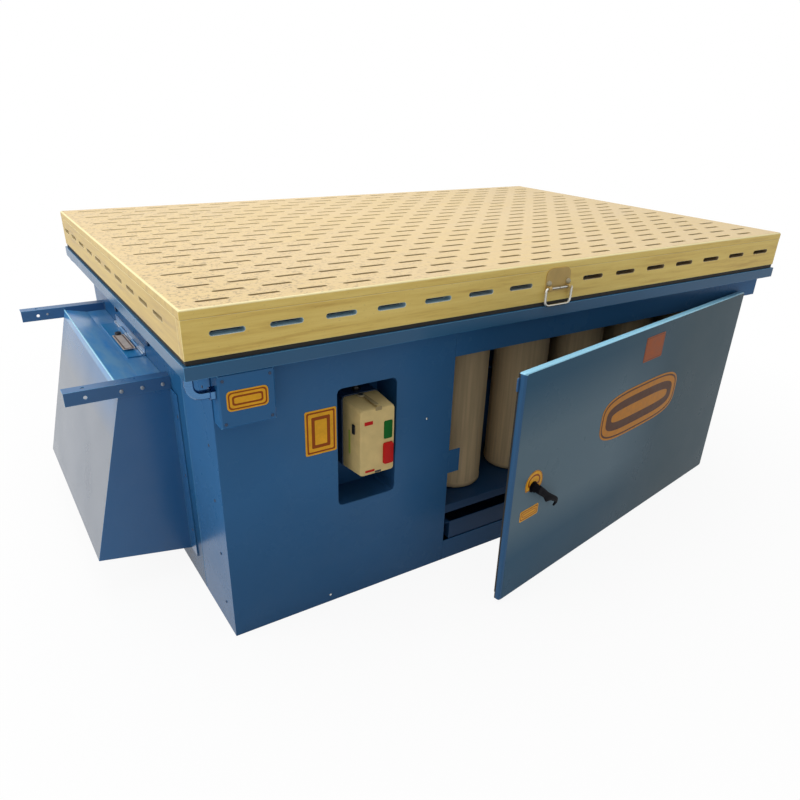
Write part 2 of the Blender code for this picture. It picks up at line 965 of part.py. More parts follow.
def push_button(name, size, stand_out, finish_name):
    """Button with a collar behind the cover's wall, on an empty that slides into the case."""
    width, height, high = size
    low = high - height
    front = cabinet_front - starter_stand_out
    collar_front = front + starter_wall + gap
    left, right = button_middle - width / 2, button_middle + width / 2
    shape = rounded_rectangle(left, low, right, high, starter_corner / 2)
    grown = rounded_rectangle(
        left - button_collar,
        low - button_collar,
        right + button_collar,
        high + button_collar,
        starter_corner / 2 + button_collar,
    )
    loops = [
        along("Y", shape, front - stand_out),
        along("Y", shape, collar_front),
        along("Y", grown, collar_front),
        along("Y", grown, collar_front + button_collar_depth),
        along("Y", shape, collar_front + button_collar_depth),
        along("Y", shape, front + button_depth),
    ]
    button = as_object(name, loft(bmesh.new(), loops), finish_name)
    place = Matrix.Translation((button_middle, front, (low + high) / 2))
    carry(pivot(f"{name}_axis", place), button)
    return button


def starter_gland():
    """Screwed gland on the starter's roof, where its cable goes in."""
    roof = starter_back_high + starter_base_margin
    y = cabinet_front + (starter_cover_back + recess_depth) / 2
    nut, neck = [gland_height * share for share in gland_step_shares]
    profile = [
        (gland_neck, gap),
        (gland_radius, gap),
        (gland_radius, nut),
        (gland_neck, neck),
        (gland_neck, gland_height),
    ]
    bm = lathe(bmesh.new(), profile, 12, standing(starter_middle, y, roof))
    return as_object("starter_gland", bm, "black_plastic", 40)


# Junction box and conduit


def junction_box():
    """Flat box under the rim at the left, its front edges eased."""
    left, right = junction_left, junction_left + junction_width
    high = panel_top
    back = cabinet_front - gap
    front = back - junction_depth
    edge = junction_edge
    loops = [
        along("Y", rectangle(left, junction_low, right, high), back),
        along("Y", rectangle(left, junction_low, right, high), front + edge),
        along("Y", rectangle(left + edge, junction_low + edge, right - edge, high - edge), front),
    ]
    return as_object("junction_box", loft(bmesh.new(), loops), "blue_paint")


def swept_tube(bm, path, radius, sides):
    """Round rod along a path that lies in one plane square to Y."""
    points = [Vector(p) for p in path]
    flat = Vector((0, 1, 0))
    loops = []
    for i, point in enumerate(points):
        before = points[max(i - 1, 0)]
        after = points[min(i + 1, len(points) - 1)]
        side = (after - before).normalized().cross(flat)
        loops.append(
            [
                point + radius * (math.cos(a) * flat + math.sin(a) * side)
                for a in np.arange(sides) * 2 * math.pi / sides
            ]
        )
    return loft(bm, loops)


def bend(centre, radius, start, end, y, steps=4):
    """Points of an arc in a plane square to Y, angles in degrees from +X towards +Z."""
    points = []
    for i in range(steps + 1):
        angle = math.radians(start + (end - start) * i / steps)
        x = centre[0] + radius * math.cos(angle)
        points.append((x, y, centre[1] + radius * math.sin(angle)))
    return points


def conduit_elbow():
    """Conduit that leaves the junction box, turns up and ends under the deck, with its lock nut."""
    y = cabinet_front - conduit_out
    left = junction_left - conduit_reach
    path = [(left, y, panel_top)]
    path += bend((left + conduit_bend, conduit_rise + conduit_bend), conduit_bend, 180, 270, y)
    path += [(junction_left - gap, y, conduit_rise)]
    bm = swept_tube(bmesh.new(), path, conduit_radius, 10)
    elbow = as_object("conduit_elbow", bm, "bright_steel", 40)
    profile = [(conduit_nut_radius, 0), (conduit_nut_radius, conduit_nut_length)]
    nut_end = junction_left - gap - conduit_nut_length
    join(elbow, lathe(bmesh.new(), profile, 6, pointing_right(nut_end - gap, y, conduit_rise)))
    return elbow


# Exhaust hood, its arms and its lid


def hood_path():
    """Section (x, z) of the hood's sheet on its outer side, from the wall over the lip to its foot."""
    return [
        (cabinet_left - gap, hood_top),
        (cabinet_left - hood_fold, hood_top),
        (cabinet_left - hood_lip_out, hood_lip_rise),
        (cabinet_left - hood_foot_out, hood_foot_rise),
    ]


def hood_inside():
    """Section of the hollow under that sheet, carried past the wall side and past the open foot."""
    path = hood_path()
    top, *folds, foot = sheet_outline(path, sheet)[len(path) :][::-1]
    down = (Vector(path[-1]) - Vector(path[-2])).normalized()
    below = tuple(Vector(foot) + down * 2 * overrun)
    wall = top[0] + overrun
    return [(wall, top[1]), *folds, below, (wall, hood_bottom - 2 * overrun)]


def exhaust_hood():
    """Downward exhaust hood, open at its foot and against the wall, flanged to the wall."""
    outline = [*hood_path(), (cabinet_left - gap, hood_bottom)]
    bm = prism(bmesh.new(), "Y", outline, hood_front, hood_back)
    hood = as_object("exhaust_hood", bm, "blue_paint")
    inside = prism(bmesh.new(), "Y", hood_inside(), hood_front + sheet, hood_back - sheet)
    cut(hood, inside, "inside")
    flanges = bmesh.new()
    wall = cabinet_left - 2 * gap
    for near, far in ((hood_front, hood_front - hood_flange), (hood_back, hood_back + hood_flange)):
        inner = near + math.copysign(sheet / 2, near - far)
        low = (wall - sheet, min(inner, far), hood_bottom + sheet)
        box(flanges, low, (wall, max(inner, far), arm_top - arm_leg - gap))
    join(hood, flanges, "flanges")
    hatch = rectangle(
        cabinet_left - lid_width,
        lid_front + lid_hatch_margin,
        cabinet_left - lid_hatch_margin,
        lid_front + lid_length - lid_hatch_margin,
    )
    low = hood_top - sheet - overrun
    cut(hood, prism(bmesh.new(), "Z", hatch, low, hood_top + overrun), "hatch")
    return hood


def hood_arm(name, front):
    """Angle-iron arm bolted outside one side of the hood, its leg at the front, with its holes."""
    outline = sheet_outline(
        [
            (front, arm_top - arm_leg),
            (front, arm_top),
            (front + arm_leg, arm_top),
        ],
        -arm_thickness,
    )
    wall = cabinet_left - gap
    bm = prism(bmesh.new(), "X", outline, cabinet_left - arm_reach, wall)
    arm = as_object(name, bm, "blue_arm_paint")
    x = cabinet_left - arm_reach + arm_hole_inset
    middle = (arm_leg + arm_thickness) / 2
    leg_hole = circle((x, arm_top - middle), arm_hole_radius, 10)
    top_hole = circle((x, front + middle), arm_hole_radius, 10)
    holes = prism(bmesh.new(), "Y", leg_hole, front - overrun, front + arm_thickness + overrun)
    prism(holes, "Z", top_hole, arm_top - arm_thickness - overrun, arm_top + overrun)
    cut(arm, holes, "holes")
    return arm


def knuckle_spans(length, knuckles):
    """Low and high end of each knuckle along a hinge, one gap apart."""
    step = length / knuckles
    spans = []
    for i in range(knuckles):
        low = i * step + (gap / 2 if i else 0)
        high = (i + 1) * step - (gap / 2 if i < knuckles - 1 else 0)
        spans.append((low, high))
    return spans


def comb_outline(length, knuckles, first, near, far):
    """Hinge leaf (across, along): a plate with a tab to the axis at each of its own knuckles."""
    points = [(far, 0)]
    for i, (low, high) in enumerate(knuckle_spans(length, knuckles)):
        own = 0 if i % 2 == first else near
        points += [(own, low), (own, high)]
    points.append((far, length))
    return points


def leaf_prism(bm, outline, low, high, place):
    """Prism of a leaf's outline (local X, local Z) between two heights in local Y."""
    loops = [[place @ Vector((u, y, v)) for u, v in outline] for y in (low, high)]
    return loft(bm, loops)


def pinned_leaf(name, finish_name, place, size, plate):
    """Fixed half of a hinge: leaf, its knuckles and the pin through the other half's knuckles."""
    length, knuckles, radius, pin = size
    far, low, high = plate
    spans = knuckle_spans(length, knuckles)
    profile = []
    for i in range(0, knuckles, 2):
        if i:
            profile += [(pin, spans[i - 2][1]), (pin, spans[i][0])]
        profile += [(radius, spans[i][0]), (radius, spans[i][1])]
    leaf = as_object(name, lathe(bmesh.new(), profile, hinge_sides, place), finish_name, 40)
    near = math.copysign(radius + gap + gap / 2, far)
    outline = comb_outline(length, knuckles, 0, near, far)
    join(leaf, leaf_prism(bmesh.new(), outline, low, high, place), "leaf")
    return leaf


def bored_leaf(name, finish_name, place, size, plate):
    """Moving half of a hinge: leaf with knuckles that run on the pin."""
    length, knuckles, radius, pin = size
    far, low, high = plate
    near = math.copysign(radius + gap + gap / 2, far)
    outline = comb_outline(length, knuckles, 1, near, far)
    leaf = as_object(name, leaf_prism(bmesh.new(), outline, low, high, place), finish_name)
    barrels = bmesh.new()
    for start, end in knuckle_spans(length, knuckles)[1::2]:
        lathe(barrels, [(radius, start), (radius, end)], hinge_sides, place)
    join(leaf, barrels, "barrels")
    bore = [(pin + gap, -overrun), (pin + gap, length + overrun)]
    cut(leaf, lathe(bmesh.new(), bore, hinge_sides, place), "bore")
    return leaf


def axes_at(origin, x_axis, y_axis, z_axis):
    """Matrix that puts local axes along the given world directions."""
    columns = [Vector(x_axis), Vector(y_axis), Vector(z_axis), Vector(origin)]
    return Matrix([[c[i] for c in columns] for i in range(3)] + [[0, 0, 0, 1]])


def hood_lid():
    """Inspection lid on the hood's flat top, hinged at the wall, with its knob."""
    x = cabinet_left - gap - lid_barrel_radius
    z = hood_top + gap + lid_barrel_radius
    origin = (x, lid_front, z)
    size = (lid_length, lid_knuckles, lid_barrel_radius, lid_pin_radius)
    on_wall = axes_at(origin, (0, 0, 1), (1, 0, 0), (0, 1, 0))
    plate = (lid_leaf_height, lid_barrel_radius - lid_leaf, lid_barrel_radius)
    pinned_leaf("lid_hinge", "bright_steel", on_wall, size, plate)
    outward = axes_at(origin, (-1, 0, 0), (0, 0, 1), (0, 1, 0))
    plate = (lid_width, -lid_barrel_radius, sheet - lid_barrel_radius)
    lid = bored_leaf("hood_lid", "blue_paint", outward, size, plate)
    top = hood_top + gap + sheet
    neck, waist, crown = [lid_knob_height * share for share in knob_rise_shares]
    profile = [
        (lid_knob_radius * knob_neck_share, gap),
        (lid_knob_radius * knob_neck_share, neck),
        (lid_knob_radius, waist),
        (lid_knob_radius, crown),
        (lid_knob_radius * knob_crown_share, lid_knob_height),
    ]
    place = standing(x - lid_knob_out, fan_y + lid_knob_off_middle, top)
    knob = as_object("lid_knob", lathe(bmesh.new(), profile, 14, place), "black_plastic", 40)
    carry(pivot("hood_lid_axis", Matrix.Translation(origin)), lid, knob)


# Fan and motor


def scroll_outline(inset, outlet):
    """Section (x, z) of the fan casing: a spiral that opens into a duct towards the left wall."""
    spiral = []
    for i in range(scroll_steps + 1):
        share = i / scroll_steps
        angle = math.radians(scroll_tongue_angle + scroll_sweep_angle * share)
        radius = scroll_start + (scroll_end - scroll_start) * share - inset
        spiral.append((fan_x + radius * math.cos(angle), fan_z + radius * math.sin(angle)))
    _, low, _, high = exhaust_outlet()
    duct = [(outlet, high - inset), (outlet, low + inset)]
    if inset:
        duct.append((spiral[0][0] + inset, low + inset))
    return spiral + duct


def fan_scroll():
    """Fan casing: a spiral shell with an inlet at the back, a shaft hole and an outlet duct."""
    front = fan_y - scroll_width / 2
    back = fan_y + scroll_width / 2
    outline = scroll_outline(0, inner_left + gap)
    casing = as_object("fan_scroll", prism(bmesh.new(), "Y", outline, front, back), "inner_paint")
    hollow = scroll_outline(scroll_sheet, inner_left - overrun)
    inside = prism(bmesh.new(), "Y", hollow, front + scroll_sheet, back - scroll_sheet)
    cut(casing, inside, "inside")
    inlet = circle((fan_x, fan_z), inlet_radius, 32)
    holes = prism(bmesh.new(), "Y", inlet, back - scroll_sheet - overrun, back + overrun)
    shaft_hole = circle((fan_x, fan_z), scroll_shaft_hole, 16)
    prism(holes, "Y", shaft_hole, front - overrun, front + scroll_sheet + overrun)
    cut(casing, holes, "holes")
    return casing


def impeller():
    """Backward-curved fan wheel: back plate with hub, blades, and a front ring with the eye."""
    front = fan_y - scroll_width / 2 + scroll_sheet + fan_side_clearance
    length = scroll_width - 2 * (scroll_sheet + fan_side_clearance)
    place = pointing_back(fan_x, front, fan_z)
    bore = shaft_radius + gap
    hub = [
        (bore, 0),
        (fan_radius, 0),
        (fan_radius, fan_plate),
        (fan_hub_radius, fan_plate),
        (fan_hub_radius, fan_hub_length),
        (bore, fan_hub_length),
    ]
    wheel = as_object("impeller", tube(bmesh.new(), hub, 24, place), "dull_steel", 40)
    blades = bmesh.new()
    steps = 4
    for blade in range(fan_blades):
        path = []
        for i in range(steps + 1):
            share = i / steps
            radius = fan_blade_root + (fan_radius - fan_plate - fan_blade_root) * share
            angle = math.radians(360 * blade / fan_blades + fan_blade_angle * share)
            path.append((radius * math.cos(angle), radius * math.sin(angle)))
        outline = sheet_outline(path, fan_blade_thickness)
        ends = (fan_plate / 2, length - fan_plate / 2)
        loft(blades, [[place @ Vector((u, v, h)) for u, v in outline] for h in ends])
    join(wheel, blades, "blades")
    ring = [
        (fan_eye_radius, length - fan_plate),
        (fan_radius, length - fan_plate),
        (fan_radius, length),
        (fan_eye_radius, length),
    ]
    join(wheel, tube(bmesh.new(), ring, 24, place), "ring")
    back_end = front + fan_hub_length
    motor_end = fan_y - scroll_width / 2 - gap
    profile = [(shaft_radius, motor_end - shaft_into_motor), (shaft_radius, back_end)]
    axis = pointing_back(fan_x, 0, fan_z)
    shaft = as_object("motor_shaft", lathe(bmesh.new(), profile, 24, axis), "bright_steel", 40)
    carry(pivot("fan_axis", Matrix.Translation((fan_x, fan_y, fan_z))), wheel, shaft)


def motor():
    """Electric motor with its fan cowl, end bell and terminal box, bored for its shaft."""
    end = fan_y - scroll_width / 2 - gap
    start = end - motor_length
    cowl = motor_radius + motor_cowl_grow
    bore = shaft_radius + gap
    profile = [
        (motor_radius * motor_back_share, 0),
        (cowl, motor_cowl_slope),
        (cowl, motor_cowl_length),
        (motor_radius, motor_cowl_length),
        (motor_radius, motor_length - motor_bell_length),
        (motor_bell_radius, motor_length),
        (bore, motor_length),
        (bore, motor_length - shaft_into_motor - fan_plate),
    ]
    bm = lathe(bmesh.new(), profile, 24, pointing_back(fan_x, start, fan_z))
    body = as_object("fan_motor", bm, "motor_grey", 40)
    half = motor_box_side / 2
    middle = start + motor_cowl_length + motor_box_side
    low = (fan_x - half, middle - half, fan_z + motor_radius - motor_box_height / 2)
    high = (fan_x + half, middle + half, fan_z + motor_radius + motor_box_height)
    join(body, box(bmesh.new(), low, high), "terminal_box")
    return body


def motor_stand():
    """Folded stand between the cabinet's floor and the motor."""
    low = floor_top + gap
    high = fan_z - motor_radius - gap - stand_sheet
    half = stand_width / 2
    path = [
        (fan_x - half - stand_foot, low),
        (fan_x - half, low),
        (fan_x - half, high),
        (fan_x + half, high),
        (fan_x + half, low),
        (fan_x + half + stand_foot, low),
    ]
    back = fan_y - scroll_width / 2 - gap - motor_bell_length
    bm = prism(bmesh.new(), "Y", sheet_outline(path, stand_sheet), back - stand_length, back)
    return as_object("motor_stand", bm, "inner_paint")


# Door and latch


def door_loop(inset, y):
    low, high = door_low + inset, door_high - inset
    return along("Y", rectangle(door_left + inset, low, door_right - inset, high), y)


def door_skin():
    """Pan-shaped door leaf: face, edges folded back, and lips folded in, open at the back."""
    loops = [
        door_loop(0, door_front),
        door_loop(0, door_back),
        door_loop(door_lip, door_back),
        door_loop(door_lip, door_back - sheet),
        door_loop(sheet, door_back - sheet),
        door_loop(sheet, door_front + sheet),
    ]
    skin = as_object("door_skin", loft(bmesh.new(), loops), "blue_paint")
    hole = circle((latch_x, latch_rise), latch_shaft_radius + latch_hole_clearance, 16)
    through = door_front + sheet + overrun
    cut(skin, prism(bmesh.new(), "Y", hole, door_front - overrun, through), "latch_hole")
    return skin


def door_seal():
    """Foam seal round the door's back, in the margin between its edge and the opening."""
    left, right = door_left + seal_edge, door_right - seal_leaf_room
    low, high = door_low + door_lip - seal_width - seal_edge, door_high - seal_edge
    near, far = door_back + gap, cabinet_front - 2 * gap
    loops = []
    for x, z, side_x, side_z in (
        (left, low, 1, 1),
        (right, low, -1, 1),
        (right, high, -1, -1),
        (left, high, 1, -1),
    ):
        in_x, in_z = x + side_x * seal_width, z + side_z * seal_width
        loops.append([(x, near, z), (x, far, z), (in_x, far, in_z), (in_x, near, in_z)])
    return as_object("door_seal", ring_loft(bmesh.new(), loops), "foam")


def door_hinge():
    """Long hinge up the door's right edge: the leaf on the frame, and the door's, which it returns."""
    length = door_high - door_low - 2 * door_leaf_end
    foot = (door_hinge_x, door_back, door_low + door_leaf_end)
    place = axes_at(foot, (1, 0, 0), (0, 1, 0), (0, 0, 1))
    size = (length, door_knuckles, door_barrel_radius, door_pin_radius)
    on_frame = (door_leaf_width, door_stand_off - gap - door_leaf, door_stand_off - gap)
    pinned_leaf("door_hinge_frame_leaf", "bright_steel", place, size, on_frame)
    return bored_leaf(
        "door_hinge_door_leaf",
        "bright_steel",
        place,
        size,
        (-door_leaf_inset, gap, gap + door_leaf),
    )


def turned(outline, degrees, centre):
    angle = math.radians(degrees)
    cos, sin = math.cos(angle), math.sin(angle)
    return [(centre[0] + u * cos - v * sin, centre[1] + u * sin + v * cos) for u, v in outline]


def latch_plate():
    """Round boss on the door's face that the latch's shaft turns in."""
    bore = latch_shaft_radius + latch_hole_clearance
    face = door_front - gap
    front = face - latch_plate_depth
    profile = [
        (bore, front),
        (latch_plate_radius * latch_plate_face_share, front),
        (latch_plate_radius, front + latch_plate_depth * latch_plate_rim_share),
        (latch_plate_radius, face),
        (bore, face),
    ]
    bm = tube(bmesh.new(), profile, 16, pointing_back(latch_x, 0, latch_rise))
    return as_object("latch_plate", bm, "black_plastic", 40)


def latch_lever():
    """Hand lever with its hub and the shaft through the door, at the angle it rests at."""
    face = door_front - gap - latch_plate_depth - gap
    front = face - latch_stand_off
    end = inner_front + cam_clearance + cam_depth + latch_shaft_past_cam
    profile = [
        (latch_hub_radius * latch_hub_face_share, front),
        (latch_hub_radius, front + latch_hub_slope),
        (latch_hub_radius, front + latch_lever_depth),
        (latch_hub_radius * latch_hub_foot_share, face),
        (latch_shaft_radius, face),
        (latch_shaft_radius, end),
    ]
    bm = lathe(bmesh.new(), profile, 16, pointing_back(latch_x, 0, latch_rise))
    lever = as_object("latch_lever", bm, "black_plastic", 40)
    steps = 6
    upper, lower = [], []
    for i in range(steps + 1):
        share = i / steps
        half = latch_lever_root + (latch_lever_tip - latch_lever_root) * share
        rise = latch_lever_bend * math.sin(math.pi * share)
        upper.append((latch_lever_length * share, rise + half))
        lower.append((latch_lever_length * share, rise - half))
    outline = turned(lower + upper[::-1], latch_rest_angle, (latch_x, latch_rise))
    near, far = front + latch_lever_inset, front + latch_lever_depth - latch_lever_inset
    join(lever, prism(bmesh.new(), "Y", outline, near, far), "bar")
    return lever


def latch_cam():
    """Flat cam at the shaft's end that turns behind the keeper's tab."""
    front = inner_front + cam_clearance
    back = front + cam_depth
    centre = (latch_x, latch_rise)
    half = cam_width / 2
    turn = [math.radians(a) for a in range(90, 271, 30)]
    root = [(half * math.cos(a), half * math.sin(a)) for a in turn]
    reach = cam_length - half
    tip = [(reach - half * math.cos(a), -half * math.sin(a)) for a in turn]
    angle = 180 + latch_rest_angle - latch_closed_angle
    outline = turned(root + tip, angle, centre)
    cam = as_object("latch_cam", prism(bmesh.new(), "Y", outline, front, back), "bright_steel")
    bore = circle(centre, latch_shaft_radius + gap, 16)
    cut(cam, prism(bmesh.new(), "Y", bore, front - overrun, back + overrun), "bore")
    return cam


def door():
    """Door with its seal, leaf and latch, modelled shut and then swung open on its hinge."""
    swing = pivot("door_axis", Matrix.Translation((door_hinge_x, door_back, 0)))
    turn = pivot("latch_axis", Matrix.Translation((latch_x, door_back, latch_rise)))
    carry(turn, latch_lever(), latch_cam())
    carry(swing, door_skin(), door_seal(), door_hinge(), latch_plate(), turn)
    swing.rotation_euler.z = math.radians(door_open_angle)


# Wooden top, its hinges and handle


def top_board():
    """Slotted work board: staggered rows of slots over the whole top."""
    edge = board_edge
    full = rectangle(-half_length, -half_width, half_length, half_width)
    eased = rectangle(
        -half_length + edge, -half_width + edge, half_length - edge, half_width - edge
    )
    loops = [
        along("Z", full, board_low),
        along("Z", full, table_height - edge),
        along("Z", eased, table_height),
    ]
    board = as_object("top_board", loft(bmesh.new(), loops), "wood")
    slots = bmesh.new()
    for row in range(board_rows):
        y = (row - (board_rows - 1) / 2) * board_row_pitch
        shift = board_slot_pitch / 4 * (1 if row % 2 else -1)
        for column in range(board_slots_per_row):
            x = (column - (board_slots_per_row - 1) / 2) * board_slot_pitch + shift
            low = (x - board_slot_length / 2, y - board_slot_width / 2, board_low - overrun)
            high = (x + board_slot_length / 2, y + board_slot_width / 2, table_height + overrun)
            box(slots, low, high)
    cut(board, slots, "slots")
    return board


def slot_outline(middle, rise):
    half = apron_slot_length / 2
    radius = apron_slot_height / 2
    return rounded_rectangle(
        middle - half, rise - radius, middle + half, rise + radius, radius, 1
    )


def apron(name, axis, low, high, middles):
    """Side board of the wooden top with a row of slots through it."""
    board = as_object(name, box(bmesh.new(), low, high), "wood")
    slots = bmesh.new()
    across = 1 if axis == "Y" else 0
    for middle in middles:
        outline = slot_outline(middle, wood_low + apron_slot_rise)
        prism(slots, axis, outline, low[across] - overrun, high[across] + overrun)
    cut(board, slots, "slots")
    return board


def aprons():
    """Four slotted side boards, the long ones over the ends of the short ones."""
    top = board_low - gap
    inner = half_width - apron_thickness
    places = [(i - (long_slots - 1) / 2) * long_slot_pitch for i in range(long_slots)]
    handle_room = (handle_plate_width + apron_slot_length) / 2
    clear = [x for x in places if abs(x - handle_middle) > handle_room]
    low = (-half_length, -half_width, wood_low)
    apron("front_apron", "Y", low, (half_length, -inner, top), clear)
    low = (-half_length, inner, wood_low)
    apron("back_apron", "Y", low, (half_length, half_width, top), places)
    first = end_slot_front_margin - half_width
    ends = [first + i * end_slot_pitch for i in range(end_slots)]
    for name, side in (("left_apron", -1), ("right_apron", 1)):
        faces = sorted((side * half_length, side * (half_length - apron_thickness)))
        low = (faces[0], -inner + gap, wood_low)
        apron(name, "X", low, (faces[1], inner - gap, top), ends)


def top_hinge(name, middle):
    """Butt hinge at the back: its pinned leaf on the rim, the other on the back apron."""
    radius = top_hinge_radius
    y = half_width + gap + radius
    origin = (middle - top_hinge_length / 2, y, rim_top + gap + radius)
    size = (top_hinge_length, top_hinge_knuckles, radius, top_hinge_pin)
    far = top_hinge_leaf_height
    down = axes_at(origin, (0, 0, -1), (0, 1, 0), (1, 0, 0))
    face = half_width + rim_overhang + gap - y
    pinned_leaf(f"{name}_rim_leaf", "bright_steel", down, size, (far, face, face + top_hinge_leaf))
    up = axes_at(origin, (0, 0, 1), (0, -1, 0), (1, 0, 0))
    return bored_leaf(
        f"{name}_top_leaf", "bright_steel", up, size, (far, radius - top_hinge_leaf, radius)
    )


def handle_plate():
    """Back plate of the carrying handle, with the two ears that hold the bail."""
    front = -half_width - gap
    half = handle_plate_width / 2
    round_middle = handle_plate_low + handle_plate_height - handle_plate_corner
    outline = [(handle_middle - half, handle_plate_low), (handle_middle + half, handle_plate_low)]
    for side, start in ((1, 0), (-1, 90)):
        middle = (handle_middle + side * (half - handle_plate_corner), round_middle)
        outline += [(x, z) for x, _, z in bend(middle, handle_plate_corner, start, start + 90, front)]
    bm = prism(bmesh.new(), "Y", outline, front - handle_plate_depth, front)
    plate = as_object("handle_plate", bm, "bright_steel", 40)
    y = -half_width - handle_pivot_out
    z = handle_pivot_rise
    radius = handle_ear_radius
    turn = [math.radians(a) for a in range(90, 271, 30)]
    ear = [(y + radius * math.cos(a), z + radius * math.sin(a)) for a in turn]
    inside = front - handle_plate_depth / 2
    ear += [(inside, z - radius), (inside, z + radius)]
    ears = bmesh.new()
    for side in (-1, 1):
        middle = handle_middle + side * handle_ear_middle
        prism(ears, "X", ear, middle - handle_ear_length / 2, middle + handle_ear_length / 2)
    join(plate, ears, "ears")
    bore = circle((y, z), bail_radius + bail_clearance, 12)
    reach = handle_ear_middle + handle_ear_length
    holes = prism(bmesh.new(), "X", bore, handle_middle - reach, handle_middle + reach)
    cut(plate, holes, "bore")
    return plate


def handle_bail():
    """Round-bar bail that hangs from its two ears, its ends turned in to meet between them."""
    y = -half_width - handle_pivot_out
    high = handle_pivot_rise
    low = high - bail_drop
    half = bail_half_width - bail_radius
    inner = bail_end_gap / 2
    top, foot = bail_top_corner, bail_corner
    left, right = handle_middle - half, handle_middle + half
    path = [(handle_middle - inner, y, high)]
    path += bend((left + top, high - top), top, 90, 180, y)
    path += bend((left + foot, low + foot), foot, 180, 270, y)
    path += bend((right - foot, low + foot), foot, 270, 360, y)
    path += bend((right - top, high - top), top, 0, 90, y)
    path += [(handle_middle + inner, y, high)]
    bm = swept_tube(bmesh.new(), path, bail_radius, 8)
    bail = as_object("handle_bail", bm, "bright_steel", 40)
    axis = pivot("bail_axis", Matrix.Translation((handle_middle, y, high)))
    carry(axis, bail)
    return axis


def wooden_top():
    """The whole top on its rear hinges: board, aprons, leaves and handle."""
    top_board()
    aprons()
    leaves = [
        top_hinge("left_top_hinge", -top_hinge_middle),
        top_hinge("right_top_hinge", top_hinge_middle),
    ]
    plate = handle_plate()
    bail = handle_bail()
    y = half_width + gap + top_hinge_radius
    axis = pivot("top_axis", Matrix.Translation((0, y, rim_top + gap + top_hinge_radius)))
    names = ("top_board", "front_apron", "back_apron", "left_apron", "right_apron")
    boards = [bpy.data.objects[name] for name in names]
    carry(axis, *boards, *leaves, plate, bail)


def cabinet():
    base_pan()
    front_left_panel()
    front_frame()
    latch_keeper()
    rear_panel()
    left_end_panel()
    right_end_panel()
    divider_panel()
    tube_sheet()
    duct_wall()
    plenum_deck()
    top_rim()
    rim_gasket()


def filters():
    for index, x in enumerate(cartridge_places(), 1):
        filter_cartridge(index, x)
    filter_shelf()
    dust_tray()
    tray_rail("tray_rail_left", divider_x + gap, 1)
    tray_rail("tray_rail_right", inner_right - sheet - 2 * gap, -1)


def starter():
    starter_recess()
    starter_base()
    starter_cover()
    starter_gland()
    push_button("start_button", start_size, start_stand_out, "green_plastic")
    push_button("stop_button", stop_size, stop_stand_out, "red_plastic")


def left_end():
    junction_box()
    conduit_elbow()
    exhaust_hood()
    hood_arm("front_arm", hood_front - gap - arm_thickness)
    hood_arm("rear_arm", hood_back + gap)
    hood_lid()


def fan_unit():
    fan_scroll()
    impeller()
    motor()
    motor_stand()


clear_scene()
cabinet()
filters()
starter()
left_end()
fan_unit()
door()
wooden_top()
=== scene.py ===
# %% [markdown]
# # Dressing a downdraft sanding table
# The table is a blue sheet-steel dust collector with a slotted wooden work top. Its solids come as a fixed
# frame, at their real size in metres. This notebook gives them their looks. It keeps every solid where it
# is, lays finer surfaces over the ones that show most, and gives each a painted, wooden or metal finish.

# %% Load the frame
import math

import bpy
import numpy as np
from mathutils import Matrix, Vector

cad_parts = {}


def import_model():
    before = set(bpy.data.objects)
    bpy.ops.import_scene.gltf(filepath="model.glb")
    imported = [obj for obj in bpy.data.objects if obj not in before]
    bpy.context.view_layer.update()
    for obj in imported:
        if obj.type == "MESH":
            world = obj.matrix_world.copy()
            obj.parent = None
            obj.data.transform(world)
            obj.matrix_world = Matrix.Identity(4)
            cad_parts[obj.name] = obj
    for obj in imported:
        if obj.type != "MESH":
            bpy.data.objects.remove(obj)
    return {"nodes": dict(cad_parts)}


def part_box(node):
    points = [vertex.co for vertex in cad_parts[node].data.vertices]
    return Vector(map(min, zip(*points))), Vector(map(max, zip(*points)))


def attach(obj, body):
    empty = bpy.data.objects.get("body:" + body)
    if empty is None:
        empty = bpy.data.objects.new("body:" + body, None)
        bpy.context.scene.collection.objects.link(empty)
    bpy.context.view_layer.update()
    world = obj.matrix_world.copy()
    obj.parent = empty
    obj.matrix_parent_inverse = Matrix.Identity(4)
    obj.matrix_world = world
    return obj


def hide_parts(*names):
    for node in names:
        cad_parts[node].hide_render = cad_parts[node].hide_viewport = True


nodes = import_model()["nodes"]
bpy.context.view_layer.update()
print("nodes in the frame:", len(nodes))

# %% [markdown]
# ## The camera
# A photograph fixes where the camera stood. The corners of the top and the cabinet are four straight lines
# in each direction, so the station, the turn and the lens can be worked out from them. The picture was
# cropped a little high, which a lens shift repeats without turning the camera. Depth of field stays off.

# %% Camera
camera_place = (-1.2524, -1.8204, 1.1681)
camera_turn = (62.400, -1.564, -32.453)
lens_length = 30.984
lens_shift = (0.0019, 0.0635)
film_width = 36


def make_camera():
    """The photograph's station: the turn is in degrees about X, Y and Z, lens and film in millimetres."""
    data = bpy.data.cameras.new("photo_camera")
    data.lens = lens_length
    data.sensor_width = film_width
    data.shift_x, data.shift_y = lens_shift
    camera = bpy.data.objects.new("photo_camera", data)
    camera.location = camera_place
    camera.rotation_euler = [math.radians(angle) for angle in camera_turn]
    bpy.context.scene.collection.objects.link(camera)
    bpy.context.scene.camera = camera
    print("camera at", camera_place)


make_camera()

# %% [markdown]
# ## Surfaces from arrays
# Most new pieces are a grid of points: rows go round or along the piece and columns across it. The
# points are worked out as whole arrays, and one helper turns any grid into a mesh. Grids that share an
# edge are merged by rounding their points, so that the finished skin is closed.

# %% Grids and meshes
merge_step = 0.00002
crease_angle = 40


